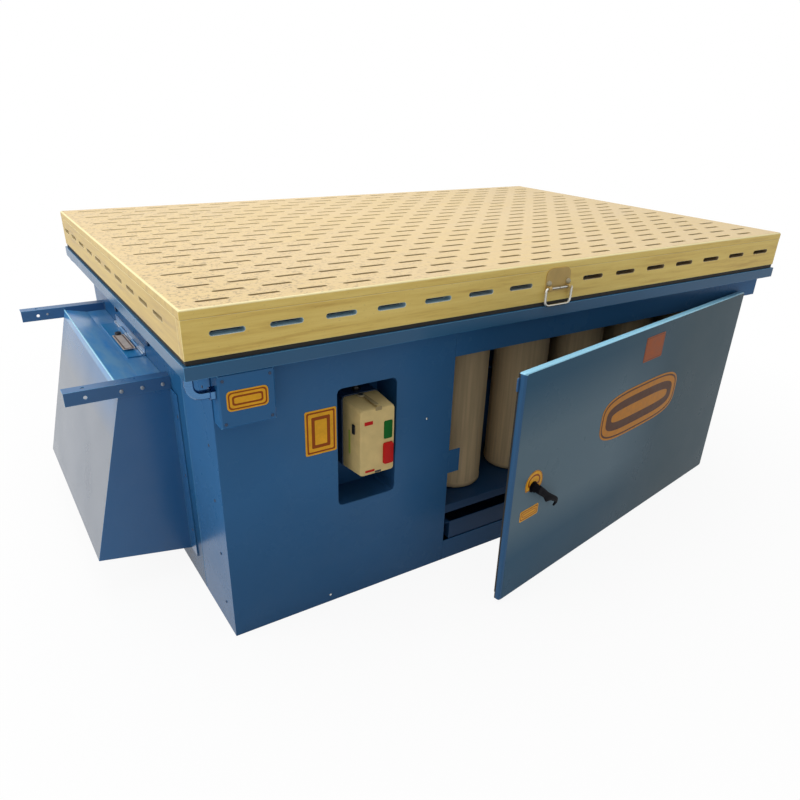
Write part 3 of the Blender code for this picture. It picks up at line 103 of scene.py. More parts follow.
def grid_faces(rows, columns, wrap_rows=False, wrap_columns=False):
    """Quads of a grid: each joins point (r, c) to its next neighbours, wrapping round where asked."""
    r = np.arange(rows if wrap_rows else rows - 1)[:, None]
    c = np.arange(columns if wrap_columns else columns - 1)[None, :]
    r_next, c_next = (r + 1) % rows, (c + 1) % columns
    quads = [r * columns + c, r_next * columns + c, r_next * columns + c_next, r * columns + c_next]
    return np.stack([np.broadcast_to(q, (r.size, c.size)) for q in quads], -1).reshape(-1, 4)


def many_grids(points, wrap_rows=False, wrap_columns=False):
    """(points, quads) of a stack of grids, shaped (copies, rows, columns, 3)."""
    copies, rows, columns, _ = points.shape
    quads = grid_faces(rows, columns, wrap_rows, wrap_columns)
    offsets = np.arange(copies)[:, None, None] * rows * columns
    return points.reshape(-1, 3), (quads[None] + offsets).reshape(-1, 4)


def merge(points):
    """The first of all points that round to the same place, and the number that each point gets."""
    keys = np.round(points / merge_step).astype(np.int64)
    _, first, number = np.unique(keys, axis=0, return_index=True, return_inverse=True)
    return first, number.reshape(-1)


def make_piece(name, parts, body, finish, crease=crease_angle):
    """A mesh object from parts, each (points, quads), riding on a body: points at rest in metres, faces
    outwards. Merged corners turn a quad into a triangle. Edges sharper than the crease stay sharp."""
    starts = np.cumsum([0] + [len(points) for points, _ in parts])
    points = np.concatenate([points for points, _ in parts])
    quads = np.concatenate([quads + start for (_, quads), start in zip(parts, starts)])
    first, number = merge(points)
    faces = [list(dict.fromkeys(quad)) for quad in number[quads].tolist()]
    mesh = bpy.data.meshes.new(name)
    mesh.from_pydata(points[first], [], [face for face in faces if len(face) > 2])
    mesh.validate()
    mesh.update()
    mesh.polygons.foreach_set("use_smooth", [True] * len(mesh.polygons))
    mesh.set_sharp_from_angle(angle=math.radians(crease))
    mesh.materials.append(finish)
    piece = bpy.data.objects.new(name, mesh)
    bpy.context.scene.collection.objects.link(piece)
    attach(piece, body)
    print(name, len(mesh.polygons), "faces")
    return piece


def add_marks(piece, points, **layers):
    """Gives each merged vertex the value, in each named layer, of the point that it came from."""
    first, _ = merge(points)
    for name, marks in layers.items():
        layer = piece.data.attributes.new(name, "FLOAT", "POINT")
        layer.data.foreach_set("value", marks[first].astype(np.float32))


def set_on(points, origin, u_axis, v_axis):
    """Points given as (along, across, out) in the frame: out is along cross across."""
    u_axis, v_axis = np.array(u_axis, float), np.array(v_axis, float)
    return points @ np.stack([u_axis, v_axis, np.cross(u_axis, v_axis)]) + np.array(origin)


print("faces of a grid of 3 rows and 4 columns:", len(grid_faces(3, 4)))

# %% [markdown]
# ## Nodes in few words
# A finish is a graph of nodes, and most of a graph's script only makes nodes and joins sockets. The class
# below has one method that does both, and a short method for each node that comes back often. Its words are
# then used like a recipe: noise, ramp, mix. Patterns read object coordinates, so they stay on a piece when
# it moves.

# %% A recipe of nodes
class Recipe:
    """The nodes of one tree. Each method adds a node and gives back one of its outputs."""

    def __init__(self, tree):
        self.nodes, self.links = tree.nodes, tree.links

    def feed(self, node, feeds):
        """Sets sockets of a node to numbers or colours, or links them to another node's output."""
        for socket, value in feeds.items():
            if isinstance(value, bpy.types.NodeSocket):
                self.links.new(value, node.inputs[socket])
            else:
                node.inputs[socket].default_value = value

    def add(self, kind, output, feeds, **settings):
        """A new node of a kind, with its settings and its sockets fed: gives back the named output."""
        node = self.nodes.new("ShaderNode" + kind)
        for setting, value in settings.items():
            setattr(node, setting, value)
        self.feed(node, feeds)
        return node.outputs[output]

    def place(self, *scale):
        """Object coordinates, stretched by a scale on each axis where one is given."""
        where = self.add("TexCoord", "Object", {})
        return self.add("Mapping", 0, {"Vector": where, "Scale": scale or (1, 1, 1)})

    def axis(self, letter):
        """One of the object coordinates: how far along X, Y or Z a point lies, in metres."""
        return self.add("SeparateXYZ", letter, {"Vector": self.place()})

    def layer(self, name):
        """The value of a layer that the skin carries."""
        return self.add("Attribute", "Fac", {}, attribute_name=name)

    def noise(self, place, scale, detail=2.0, roughness=0.5):
        """Fractal noise of about one metre over scale across."""
        feeds = {"Vector": place, "Scale": scale, "Detail": detail, "Roughness": roughness}
        return self.add("TexNoise", "Fac", feeds)

    def ramp(self, value, *stops):
        """A colour ramp through (place, colour) stops."""
        colour = self.add("ValToRGB", "Color", {"Fac": value})
        elements = colour.node.color_ramp.elements
        while len(elements) < len(stops):
            elements.new(0.5)
        for element, (position, shade) in zip(elements, stops):
            element.position = position
            element.color = (*shade, 1.0)
        return colour

    def spread(self, value, low, high, out_low, out_high):
        """Maps low..high to out_low..out_high and clamps."""
        feeds = {"Value": value, "From Min": low, "From Max": high, "To Min": out_low, "To Max": out_high}
        return self.add("MapRange", "Result", feeds)

    def joined(self, operation, first, second):
        """Two values joined by an operation, such as MULTIPLY."""
        return self.add("Math", 0, {0: first, 1: second}, operation=operation)

    def mix(self, share, first, second):
        """Two colours, each an output or three numbers, mixed by a share."""
        first, second = ((*tone, 1.0) if isinstance(tone, tuple) else tone for tone in (first, second))
        return self.add("Mix", 2, {"Factor": share, 6: first, 7: second}, data_type="RGBA")


# %% A finish
class Finish(Recipe):
    """The recipe of a new material with a Principled shader."""

    def __init__(self, name):
        self.material = bpy.data.materials.new(name)
        self.material.use_nodes = True
        super().__init__(self.material.node_tree)

    def coat(self, **looks):
        """Feeds the shader: an underscore in a look's name stands for a space in the socket's name."""
        self.feed(self.nodes["Principled BSDF"], {look.replace("_", " "): looks[look] for look in looks})

    def bump(self, height, distance, strength=1.0):
        """Lets a height raise the surface by a distance in metres."""
        feeds = {"Height": height, "Distance": distance, "Strength": strength}
        self.coat(Normal=self.add("Bump", "Normal", feeds))


def shaded(colour, factor):
    """The colour with each of its channels multiplied by the factor."""
    return tuple(channel * factor for channel in colour)


print("half of a mid grey is", shaded((0.5, 0.5, 0.5), 0.5))

# %% [markdown]
# ## Enamel
# Enamel on sheet steel has a fine orange peel, a slow drift of shade, dust in patches and rubbed places. Each
# comes from noise of its own scale. Numbers that are alike all over a surface are typed on the shader itself.
# Towards the floor a share of the paint is darker, a painted shade.

# %% Sprayed enamel
dust_grey = (0.26, 0.30, 0.33)
floor_shade_heights = (0.02, 0.36)
drift_scale, dust_scale, rub_scale, peel_scale = 1.7, 3.0, 5.0, 260.0
peel_height = 0.00003


def enamel_coat(name, colour, roughness=0.20, gloss=0.20, dust_share=0.06, drift_by=0.10, foot=0.0):
    """Sprayed enamel: shade drifts over half a metre, a thin dust lies in patches, rubbed places are duller.
    Towards the floor a share of it is darker, a painted shade. Gives back (finish, its colour)."""
    finish = Finish(name)
    ends = (0.3, shaded(colour, 1 - drift_by)), (0.7, shaded(colour, 1 + drift_by))
    drifted = finish.ramp(finish.noise(finish.place(), drift_scale, 3.0), *ends)
    # painted shade: a share of the colour darkens towards the floor
    low = finish.spread(finish.axis("Z"), *floor_shade_heights, foot, 0.0)
    floor_shaded = finish.mix(low, drifted, shaded(colour, 0.5))
    dust = finish.noise(finish.place(), dust_scale, 7.0, 0.65)
    dusty = finish.spread(dust, 0.42, 0.75, 0.0, dust_share)
    coated = finish.mix(dusty, floor_shaded, dust_grey)
    rubbed = finish.noise(finish.place(), rub_scale, 6.0, 0.62)
    dull = finish.spread(rubbed, 0.35, 0.75, roughness - 0.04, roughness + 0.08)
    finish.coat(Base_Color=coated, Roughness=dull, Specular_IOR_Level=gloss)
    finish.bump(finish.noise(finish.place(), peel_scale, 1.0), peel_height, 0.2)
    return finish, coated


def enamel(name, colour, *numbers, **named):
    """The same enamel as a plain material, for a surface that gets nothing more over it."""
    return enamel_coat(name, colour, *numbers, **named)[0].material


blue = (0.020, 0.125, 0.305)
blue_paint = enamel("blue_enamel", blue)
door_edge_paint = enamel("door_edge_enamel", (0.024, 0.110, 0.250), 0.22, 0.20)
# painted highlight: a pale cyan for bends and the bead that catch the light
bend_highlight_paint = enamel("bend_highlight_enamel", (0.300, 0.650, 0.860), 0.22, 0.40)
# painted highlight: a brighter blue for the rounded edges of sheet
edge_highlight_paint = enamel("edge_enamel", (0.050, 0.240, 0.470), 0.22, 0.40)
# painted light: a lighter copy of the blue enamel, used on the hood's lid
lid_lit_paint = enamel("lid_lit_enamel", (0.030, 0.235, 0.510), 0.18, 0.30)
# foot darkens these two enamels towards the floor, a painted shade
front_paint = enamel("front_enamel", (0.036, 0.140, 0.318), 0.26, 0.08, foot=0.45)
end_paint = enamel("end_enamel", (0.015, 0.102, 0.248), 0.26, 0.08, foot=0.75)
rim_paint = enamel("rim_enamel", (0.034, 0.125, 0.250), 0.22, 0.20)
# painted shade: a darker blue for the inside of the starter's recess
recess_shade_paint = enamel("recess_shade_enamel", (0.010, 0.072, 0.200), 0.34, 0.10)
arm_paint = enamel("navy_enamel", (0.040, 0.130, 0.290), 0.28, 0.25)
# painted shade: a dark blue for the parts inside the cabinet
inner_shade_paint = enamel("inside_shade_enamel", (0.012, 0.055, 0.140), 0.42, 0.15)
print("enamels ready, the first is", blue_paint.name)

# %% [markdown]
# ## The door's and the hood's enamel
# These two surfaces show most, and neither is even. The door goes from blue near the latch to grey near its
# hinge, a painted reflection, with a pale painted reflection in the middle. The hood's outer side is painted
# grey, a painted reflection, and its top carries a bright painted sheen in streaks. Both start from the plain
# enamel and mix further colours over it, by place.

# %% Door enamel
# painted reflection: the door drifts from the near tone to the far one, with a pale patch in the middle
door_reflection_tones = {"near": (0.027, 0.100, 0.178), "far": (0.038, 0.084, 0.112), "reflection_patch": (0.112, 0.182, 0.232)}
reflection_drift_reach = (-0.25, 0.55)
reflection_patch_reach = (0.18, 0.42)
reflection_patch_foot = (0.13, 0.24)
reflection_patch_head = (0.45, 0.60)


def door_enamel(name, near, far, reflection_patch):
    """Enamel that is bluer near the latch and greyer near the hinge, a painted reflection, with a pale
    painted reflection in a soft-edged field: the product of three shares, one in x and two in z."""
    finish, coated = enamel_coat(name, near, 0.30, 0.06, 0.0, 0.06)
    reflection_drifted = finish.mix(finish.spread(finish.axis("X"), *reflection_drift_reach, 0.0, 1.0), coated, far)
    share = finish.spread(finish.axis("X"), *reflection_patch_reach, 1.0, 0.0)
    share = finish.joined("MULTIPLY", share, finish.spread(finish.axis("Z"), *reflection_patch_foot, 0.0, 1.0))
    share = finish.joined("MULTIPLY", share, finish.spread(finish.axis("Z"), *reflection_patch_head, 1.0, 0.0))
    finish.coat(Base_Color=finish.mix(share, reflection_drifted, reflection_patch))
    return finish.material


door_paint = door_enamel("door_enamel", **door_reflection_tones)
print("door tones:", *door_reflection_tones)

# %% Hood enamel
hood_flange = 0.050
hood_low, hood_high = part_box("exhaust_hood")
# painted reflection: the grey of the hood's outer side
hood_reflection_grey = (0.185, 0.19, 0.195)
hood_reflection_grey_reach = (-1.030, -1.005)
# painted highlight: the sheen on the hood's top
hood_sheen = (0.150, 0.360, 0.580)
hood_shoulder = (0.022, 0.016)
side_step = (0.0004, 0.0008)
streak_scale = 22.0


def hood_enamel(name, colour, grey, sheen):
    """Enamel whose outer side is painted grey, a painted reflection: a share of y past the hood's side, times
    a share of x past its top. Above the hood's shoulder it carries a painted sheen, bright in streaks along
    y."""
    finish, coated = enamel_coat(name, colour, 0.22, 0.40)
    start, end = (hood_low[1] + hood_flange + step for step in side_step)
    past_side = finish.spread(finish.axis("Y"), start, end, 0.0, 1.0)
    outer = finish.spread(finish.axis("X"), *hood_reflection_grey_reach, 0.75, 0.0)
    dust_and_reflection_mixed = finish.mix(finish.joined("MULTIPLY", past_side, outer), coated, grey)
    streaks = finish.noise(finish.place(1, 0.25, 1), streak_scale, 4.0, 0.6)
    bright = finish.ramp(streaks, (0.3, shaded(colour, 2.0)), (0.62, sheen))
    start, end = (hood_high[2] - drop for drop in hood_shoulder)
    on_top = finish.spread(finish.axis("Z"), start, end, 0.0, 0.90)
    finish.coat(Base_Color=finish.mix(on_top, dust_and_reflection_mixed, bright))
    return finish.material


hood_paint = hood_enamel("hood_enamel", blue, hood_reflection_grey, hood_sheen)
print("hood's shoulder at", round(hood_high[2] - hood_shoulder[0], 4))

# %% [markdown]
# ## Metals, plastics, plates and cloth
# Plated and bare steel is streaked along the way it was drawn. Moulded plastic has a light mottle and the
# fine grain of its mould. The brass-coloured handle plate is lacquered, so it is made as a plastic too, and
# so are bolts that were painted over. A printed plate has ink where its own skin says so.

# %% Metal and plastic
drawn_scale, mottle_scale, mould_scale = 60.0, 40.0, 900.0
mould_height = 0.00004


def metal(name, colour, roughness, scratch=(1, 1, 30)):
    """Plated or bare steel: fine streaks along one axis vary its roughness and shade."""
    finish = Finish(name)
    streaks = finish.noise(finish.place(*scratch), drawn_scale, 4.0, 0.6)
    tone = finish.ramp(streaks, (0.3, shaded(colour, 0.82)), (0.75, shaded(colour, 1.1)))
    rough = finish.spread(streaks, 0.3, 0.7, roughness - 0.06, roughness + 0.1)
    finish.coat(Base_Color=tone, Roughness=rough, Metallic=1.0)
    return finish.material


def plastic(name, colour, roughness, grain=mould_scale, rise=mould_height, gloss=0.5):
    """Moulded plastic: an even colour with a light mottle, and the fine grain of the mould as bump."""
    finish = Finish(name)
    mottle = finish.noise(finish.place(), mottle_scale, 4.0)
    tone = finish.ramp(mottle, (0.3, shaded(colour, 0.92)), (0.7, shaded(colour, 1.06)))
    rough = finish.spread(mottle, 0.3, 0.7, roughness - 0.04, roughness + 0.06)
    finish.coat(Base_Color=tone, Roughness=rough, Specular_IOR_Level=gloss)
    finish.bump(finish.noise(finish.place(), grain, 1.0), rise, 0.6)
    return finish.material


bright_steel = metal("zinc_plate", (0.58, 0.57, 0.52), 0.28)
conduit_steel = metal("conduit_plate", (0.09, 0.21, 0.40), 0.22)
hinge_bar = metal("hinge_bar", (0.62, 0.74, 0.88), 0.30)
dull_steel = metal("bare_sheet", (0.36, 0.37, 0.38), 0.45)
tarnished = plastic("lacquered_brass", (0.60, 0.41, 0.145), 0.40, gloss=0.2)
eye_metal = plastic("eye_metal", (0.44, 0.38, 0.24), 0.25)
painted_bolt = plastic("painted_bolt", (0.010, 0.035, 0.090), 0.35)
arm_bolt = plastic("grey_bolt", (0.30, 0.33, 0.36), 0.40)
motor_grey = plastic("motor_enamel", (0.16, 0.18, 0.20), 0.50)
starter_grey = plastic("starter_case", (0.74, 0.560, 0.240), 0.42, gloss=0.2)
starter_shade = plastic("starter_groove", (0.36, 0.275, 0.130), 0.50, gloss=0.2)
black_plastic = plastic("black_plastic", (0.010, 0.010, 0.012), 0.34)
grip_black = plastic("grip_black", (0.006, 0.006, 0.008), 0.60, gloss=0.03)
black_foam = plastic("black_foam", (0.022, 0.020, 0.016), 0.80, 500.0, 0.0002)
green_plastic = plastic("green_button", (0.004, 0.130, 0.018), 0.35, gloss=0.1)
red_plastic = plastic("red_button", (0.56, 0.014, 0.012), 0.35, gloss=0.1)
lime_plastic = plastic("lime_strip", (0.38, 0.46, 0.06), 0.40)
print("metal and plastic ready")


# %% Printed plates
wear_scale = 55.0
print_gloss = 0.10


def printed(name, colour, ink):
    """A printed plate: its colour with a light wear, and ink where the rule layer of the plate is one."""
    finish = Finish(name)
    wear = finish.noise(finish.place(), wear_scale, 5.0, 0.6)
    tone = finish.ramp(wear, (0.3, shaded(colour, 0.85)), (0.7, shaded(colour, 1.08)))
    finish.coat(Base_Color=finish.mix(finish.layer("rule"), tone, ink), Specular_IOR_Level=print_gloss,
                Roughness=finish.spread(wear, 0.3, 0.7, 0.32, 0.46))
    return finish.material


amber = printed("amber_plate", (0.88, 0.430, 0.026), (0.32, 0.070, 0.010))
name_amber = printed("name_plate", (0.56, 0.215, 0.016), (0.085, 0.026, 0.006))
brown = printed("brown_plate", (0.66, 0.56, 0.48), (0.16, 0.10, 0.07))
orange = printed("orange_plate", (0.36, 0.080, 0.012), (0.10, 0.02, 0.01))
print("plate colours ready")

# %% Filter cloth
shelf_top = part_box("filter_shelf")[1][2]
foot_band = (shelf_top + 0.014, shelf_top + 0.022)
# painted shade: the header's shadow on the cloth near the head
head_shade_heights = (0.36, 0.62)
pleat_scale, pleat_stretch, pleat_height = 120.0, 0.04, 0.0006


def felt(name, colour):
    """Filter cloth: faint upright pleats, a dark painted shade near the head, and a paler moulded foot band.
    """
    finish = Finish(name)
    pleats = finish.noise(finish.place(1, 1, pleat_stretch), pleat_scale, 2.0)
    tone = finish.ramp(pleats, (0.35, shaded(colour, 0.86)), (0.65, shaded(colour, 1.08)))
    head = finish.spread(finish.axis("Z"), *head_shade_heights, 0.0, 0.55)
    head_shaded = finish.mix(head, tone, shaded(colour, 0.42))
    foot = finish.spread(finish.axis("Z"), *foot_band, 1.0, 0.0)
    finish.coat(Base_Color=finish.mix(foot, head_shaded, shaded(colour, 1.15)), Roughness=0.75)
    finish.bump(pleats, pleat_height, 0.4)
    return finish.material


cream_felt = felt("filter_felt", (0.70, 0.515, 0.290))
print("foot band at", [round(z, 4) for z in foot_band])

# %% [markdown]
# ## Wood
# The top is a close-grained hardwood panel, lacquered and then used. Its grain runs along the board, so
# the noise is stretched many times along that axis. Sanding dust lies on the face and leaves it pale; the
# lacquered sides stay golden, and faces at the front get brighter tones, a painted light. Each skin carries
# two layers: one says where a slot's wall begins, the other how far a point faces up.

# %% Wood finish
aged_grain = (0.46, 0.29, 0.080), (0.62, 0.435, 0.135), (0.72, 0.53, 0.195)
# painted light: brighter tones that the front faces take
front_lit_grain = (0.68, 0.44, 0.095), (0.86, 0.62, 0.160), (0.94, 0.71, 0.215)
grain_stops = (0.28, 0.46, 0.68)
pore_brown = shaded(aged_grain[0], 0.7)
wood_dust = (0.655, 0.492, 0.264)
dust_brown = (0.24, 0.165, 0.085)
# painted highlight: the pale colour of the rounded edge
edge_highlight_colour = (0.97, 0.87, 0.45)
front_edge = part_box("top_board")[0][1]
front_step = (0.0008, 0.0040)
grit_reach = (-0.85, -0.10)
slot_reach = (-0.35, 0.15)
grain_scale, pore_scale, patch_scale, grit_scale = 5.0, 330.0, 3.1, 110.0
grain_stretch, pore_stretch = 16.0, 0.35
grain_height = 0.0003


def wood(name, along_grain, slot_low, slot_high, dust_share):
    """Lacquered hardwood: stretched noise for grain, wide noise for patches, specks for pores, dust on top.
    A slot's wall goes from one colour at the left end of the board to the other at its right end; a pale left
    colour is painted light seen through the slots. The rounded edge, which faces halfway up, gets a pale
    painted highlight. Faces at the front take brighter tones, a painted light."""
    finish = Finish(name)
    grain_place = finish.place(*(1.0 if axis == along_grain else grain_stretch for axis in range(3)))
    grain = finish.noise(grain_place, grain_scale, 7.0, 0.62)
    aged, front_lit = (finish.ramp(grain, *zip(grain_stops, tones)) for tones in (aged_grain, front_lit_grain))
    start, end = (front_edge + step for step in front_step)
    at_front = finish.spread(finish.axis("Y"), start, end, 1.0, 0.0)
    base = finish.mix(at_front, aged, front_lit)
    pore_place = finish.place(*(pore_stretch if axis == along_grain else 1.0 for axis in range(3)))
    pores = finish.noise(pore_place, pore_scale, 2.0, 0.7)
    specked = finish.mix(finish.spread(pores, 0.66, 0.74, 0.0, 0.35), base, pore_brown)

    facing = finish.layer("facing_up")
    patch = finish.noise(finish.place(), patch_scale, 4.0, 0.6)
    cover = finish.spread(patch, 0.32, 0.66, dust_share - 0.25, dust_share)
    dust_and_reflection_mixed = finish.mix(finish.joined("MULTIPLY", cover, facing), specked, wood_dust)
    grit = finish.noise(finish.place(), grit_scale, 3.0, 0.7)
    gritty = finish.spread(grit, 0.52, 0.66, 0.0, 0.90 * dust_share)
    zone = finish.spread(finish.axis("X"), *grit_reach, 1.0, 0.20)
    amount = finish.joined("MULTIPLY", finish.joined("MULTIPLY", gritty, zone), facing)
    gritted = finish.mix(amount, dust_and_reflection_mixed, dust_brown)

    rising = finish.spread(facing, 0.25, 0.50, 0.0, 1.0)
    falling = finish.spread(facing, 0.80, 0.97, 0.8, 0.0)
    arris = finish.joined("MULTIPLY", rising, falling)
    edge_highlighted = finish.mix(arris, gritted, edge_highlight_colour)
    slot_colour = finish.mix(finish.spread(finish.axis("X"), *slot_reach, 0.0, 1.0), slot_low, slot_high)
    finish.coat(Base_Color=finish.mix(finish.layer("slot_wall"), edge_highlighted, slot_colour),
                Roughness=finish.spread(grain, 0.3, 0.7, 0.34, 0.50),
                Specular_IOR_Level=finish.spread(arris, 0.0, 0.8, 0.35, 1.0))
    finish.bump(grain, grain_height, 0.3)
    return finish.material


# painted light: the pale left slot colours, blue on the front and back boards and tan on the left one
slot_brown = (0.40, 0.285, 0.135)
top_wood = wood("dusty_board", 0, slot_brown, slot_brown, 0.85)
long_wood = wood("side_board_along_x", 0, (0.42, 0.58, 0.66), (0.30, 0.22, 0.13), 0.0)
cross_wood = wood("side_board_along_y", 1, (0.56, 0.45, 0.25), slot_brown, 0.0)
print("three woods ready, the front edge at", round(front_edge, 4))

# %% [markdown]
# ## The slotted boards
# On the real table a router cuts staggered rows of slots through the work board, and one row through
# each side board. A Boolean could cut them, but it leaves long thin triangles that shade badly. Here each
# slot is a cell: its surface runs from the cell's rim over the top, rounds into the slot, goes down the
# wall and back out underneath. Cells meet edge to edge, and a border carries the field to the board's
# rounded edge.

# %% Slot cells
run_steps = 8
end_steps = 6
slot_round = 0.0012
lip_grow = slot_round * 2.2
round_steps = 3


def rectangle_loops(left, low, right, high):
    """Counter-clockwise rectangles, one for each cell, with the steps of a slot's runs and ends."""
    run = np.arange(run_steps) / run_steps
    end = np.arange(end_steps) / end_steps
    ones_run, ones_end = np.ones(run_steps), np.ones(end_steps)
    u_share = np.concatenate([run, ones_end, 1 - run, 0 * ones_end])
    v_share = np.concatenate([0 * ones_run, end, ones_run, 1 - end])
    u = left[:, None] + (right - left)[:, None] * u_share
    v = low[:, None] + (high - low)[:, None] * v_share
    return np.stack([u, v], -1)


def slot_loops(middle_u, middle_v, length, width, grow):
    """Counter-clockwise slot outlines: two straight runs and two half circles, grown by a distance."""
    radius = width / 2 + grow
    straight = length / 2 - width / 2
    run = (np.arange(run_steps) / run_steps - 0.5) * 2 * straight
    turn = np.pi * np.arange(end_steps) / end_steps - np.pi / 2
    u = np.concatenate([run, straight + radius * np.cos(turn), -run, -straight - radius * np.cos(turn)])
    v = np.concatenate([0 * run - radius, radius * np.sin(turn), 0 * run + radius, -radius * np.sin(turn)])
    return np.stack([middle_u[:, None] + u, middle_v[:, None] + v], -1)


def slotted_cells(cells, slots, size, thickness):
    """Grids from each cell's rim, over its slot's rounded lip, down the wall and out underneath, with two
    marks for each point: one on a slot's wall, and the share by which the skin faces up."""
    outer = rectangle_loops(*cells)
    levels = [(outer, 0.0, 0.0, 1.0), (slot_loops(*slots, *size, lip_grow), 0.0, 0.0, 1.0)]
    for turn in np.linspace(0, np.pi / 2, round_steps):
        grow, drop = slot_round * (1 - np.sin(turn)), slot_round * (1 - np.cos(turn))
        levels.append((slot_loops(*slots, *size, grow), drop, np.sin(turn), np.cos(turn)))
    levels.append((slot_loops(*slots, *size, 0.0), thickness, 1.0, 0.0))
    levels.append((outer, thickness, 0.0, 0.0))
    flat = np.stack([level[0] for level in levels], 1)
    drop, wall, facing = np.array([level[1:] for level in levels]).T[:, None, :, None]
    points = np.concatenate([flat, 0 * flat[..., :1] - drop[..., None]], -1)
    wall, facing = (mark + 0 * flat[..., 0] for mark in (wall, facing))
    return points[:, ::-1], wall[:, ::-1], facing[:, ::-1]


print("points round a slot:", 2 * (run_steps + end_steps))

# %% Plain cells and the border
border_steps = 5
border_margin = 1.15


def plain_cells(left, low, right, high, thickness):
    """Cells without a slot: a flat top and a flat underside on the same lattice."""
    u = left[:, None] + (right - left)[:, None] * (np.arange(run_steps + 1) / run_steps)
    v = low[:, None] + (high - low)[:, None] * (np.arange(end_steps + 1) / end_steps)
    shape = (len(left), run_steps + 1, end_steps + 1)
    u_grid = np.broadcast_to(u[:, :, None], shape)
    v_grid = np.broadcast_to(v[:, None, :], shape)
    top = np.stack([u_grid, v_grid, np.zeros(shape)], -1)
    under = np.stack([u_grid, v_grid, np.full(shape, -thickness)], -1)[:, :, ::-1]
    return np.concatenate([top, under])


def border(us, vs, edges, thickness, radius, foot_radius):
    """Rings from the field's rim over the rounded edge, down the side and back to the field underneath.
    Each ring is the field's rim, with its corners moved out to the ring's own rectangle."""
    left, low, right, high = edges
    u = np.concatenate([us[:-1], np.full(len(vs) - 1, us[-1]), us[:0:-1], np.full(len(vs) - 1, us[0])])
    v = np.concatenate([np.full(len(us) - 1, vs[0]), vs[:-1], np.full(len(us) - 1, vs[-1]), vs[:0:-1]])
    u_share = (u - us[0]) / (us[-1] - us[0])
    v_share = (v - vs[0]) / (vs[-1] - vs[0])
    turns = np.linspace(0, np.pi / 2, border_steps)
    rings = [(radius * border_margin, 0.0)]
    rings += [(radius * (1 - np.sin(t)), radius * (1 - np.cos(t))) for t in turns]
    rings += [(foot_radius * (1 - np.cos(t)), thickness - foot_radius * (1 - np.sin(t))) for t in turns]
    loops = [np.stack([u, v, 0 * u], -1)]
    for inset, drop in rings:
        ring_u = left + inset + u_share * (right - left - 2 * inset)
        ring_v = low + inset + v_share * (high - low - 2 * inset)
        loops.append(np.stack([ring_u, ring_v, 0 * u - drop], -1))
    loops.append(np.stack([u, v, 0 * u - thickness], -1))
    facing = np.concatenate([[1.0, 1.0], np.cos(turns), np.zeros(border_steps + 1)])
    return np.stack(loops)[None], facing[:, None] + 0 * u


# %% A board from cells
def slotted_board(name, node, place, lattice, cells, slots, size, plain, edges, finish, radii):
    """A board of slot cells, plain cells and a border, standing for the frame's own solid."""
    thickness = edges[4]
    grids, wall, facing = slotted_cells(cells, slots, size, thickness)
    parts, walls, facings = [many_grids(grids, wrap_columns=True)], [wall], [facing]
    if plain is not None:
        extra = plain_cells(*plain, thickness)
        parts.append(many_grids(extra))
        facings.append((extra[..., 2] > -thickness / 2).astype(float))
        walls.append(0 * extra[..., 2])
    rim, rim_facing = border(*lattice, edges[:4], thickness, *radii)
    parts.append(many_grids(rim, wrap_columns=True))
    facings.append(rim_facing)
    walls.append(0 * rim_facing)
    parts = [(set_on(points, *place), quads) for points, quads in parts]
    board = make_piece(name, parts, "top", finish, crease=50)
    points = np.concatenate([points for points, _ in parts])
    wall, facing = (np.concatenate([marks.reshape(-1) for marks in each]) for each in (walls, facings))
    add_marks(board, points, slot_wall=wall, facing_up=facing)
    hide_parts(node)


# %% [markdown]
# ## The work board
# The rows of slots are staggered: even rows sit a quarter pitch to the left and odd rows a quarter to the
# right. That leaves half a cell without a slot at one end of every row, which two narrow cells of plain
# wood fill.

# %% Work board
board_low, board_high = (np.array(corner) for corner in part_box("top_board"))
slot_pitch = 0.1037
row_pitch = 0.0565
board_slot = (0.067, 0.0112)
slots_per_row = 17
rows = 21
board_radii = (0.006, 0.001)


def work_board():
    """A slot's middle is (column * pitch + or - a quarter pitch, row * row pitch), about the middle."""
    row, column = np.meshgrid(np.arange(rows), np.arange(slots_per_row), indexing="ij")
    shift = np.where(row % 2 == 1, 0.25, -0.25) * slot_pitch
    u = ((column - (slots_per_row - 1) / 2) * slot_pitch + shift).reshape(-1)
    v = ((row - (rows - 1) / 2) * row_pitch).reshape(-1)
    cells = (u - slot_pitch / 2, v - row_pitch / 2, u + slot_pitch / 2, v + row_pitch / 2)
    half = (slots_per_row / 2 + 0.25) * slot_pitch
    row_middle = (np.arange(rows) - (rows - 1) / 2) * row_pitch
    plain_left = np.where(np.arange(rows) % 2 == 1, -half, half - slot_pitch / 2)
    narrow = []
    for left in (plain_left, plain_left + slot_pitch / 4):
        narrow.append((left, row_middle - row_pitch / 2, left + slot_pitch / 4, row_middle + row_pitch / 2))
    plain = tuple(np.concatenate(pair) for pair in zip(*narrow))
    step = slot_pitch / run_steps
    us = np.arange(round(2 * half / step) + 1) * step - half
    vs = np.linspace(-rows * row_pitch / 2, rows * row_pitch / 2, rows * end_steps + 1)
    edges = (*board_low[:2], *board_high[:2], board_high[2] - board_low[2])
    place = ((0, 0, board_high[2]), (1, 0, 0), (0, 1, 0))
    slotted_board("work_board", "top_board", place, (us, vs), cells, (u, v), board_slot, plain, edges,
                  top_wood, board_radii)
    print(len(u), "slots in the work board")


work_board()

# %% [markdown]
# ## The side boards
# Each side board has one row of slots, half way up. The same cells make it: the board is worked out flat, in
# the order in which someone who stands in front of it reads it, and then set upright on its side of the
# table. The chest handle covers the middle of the front board, where the real board has no slot.

# %% Side boards
apron_slot = (0.070, 0.010)
apron_slot_rise = 0.046
apron_field_half = 0.022
apron_margin = 0.0018
apron_round = 0.0015
long_middles = (np.arange(15) - 7) * 0.1208
end_middles = (np.arange(10) - 4.5) * 0.1104 + 0.0465


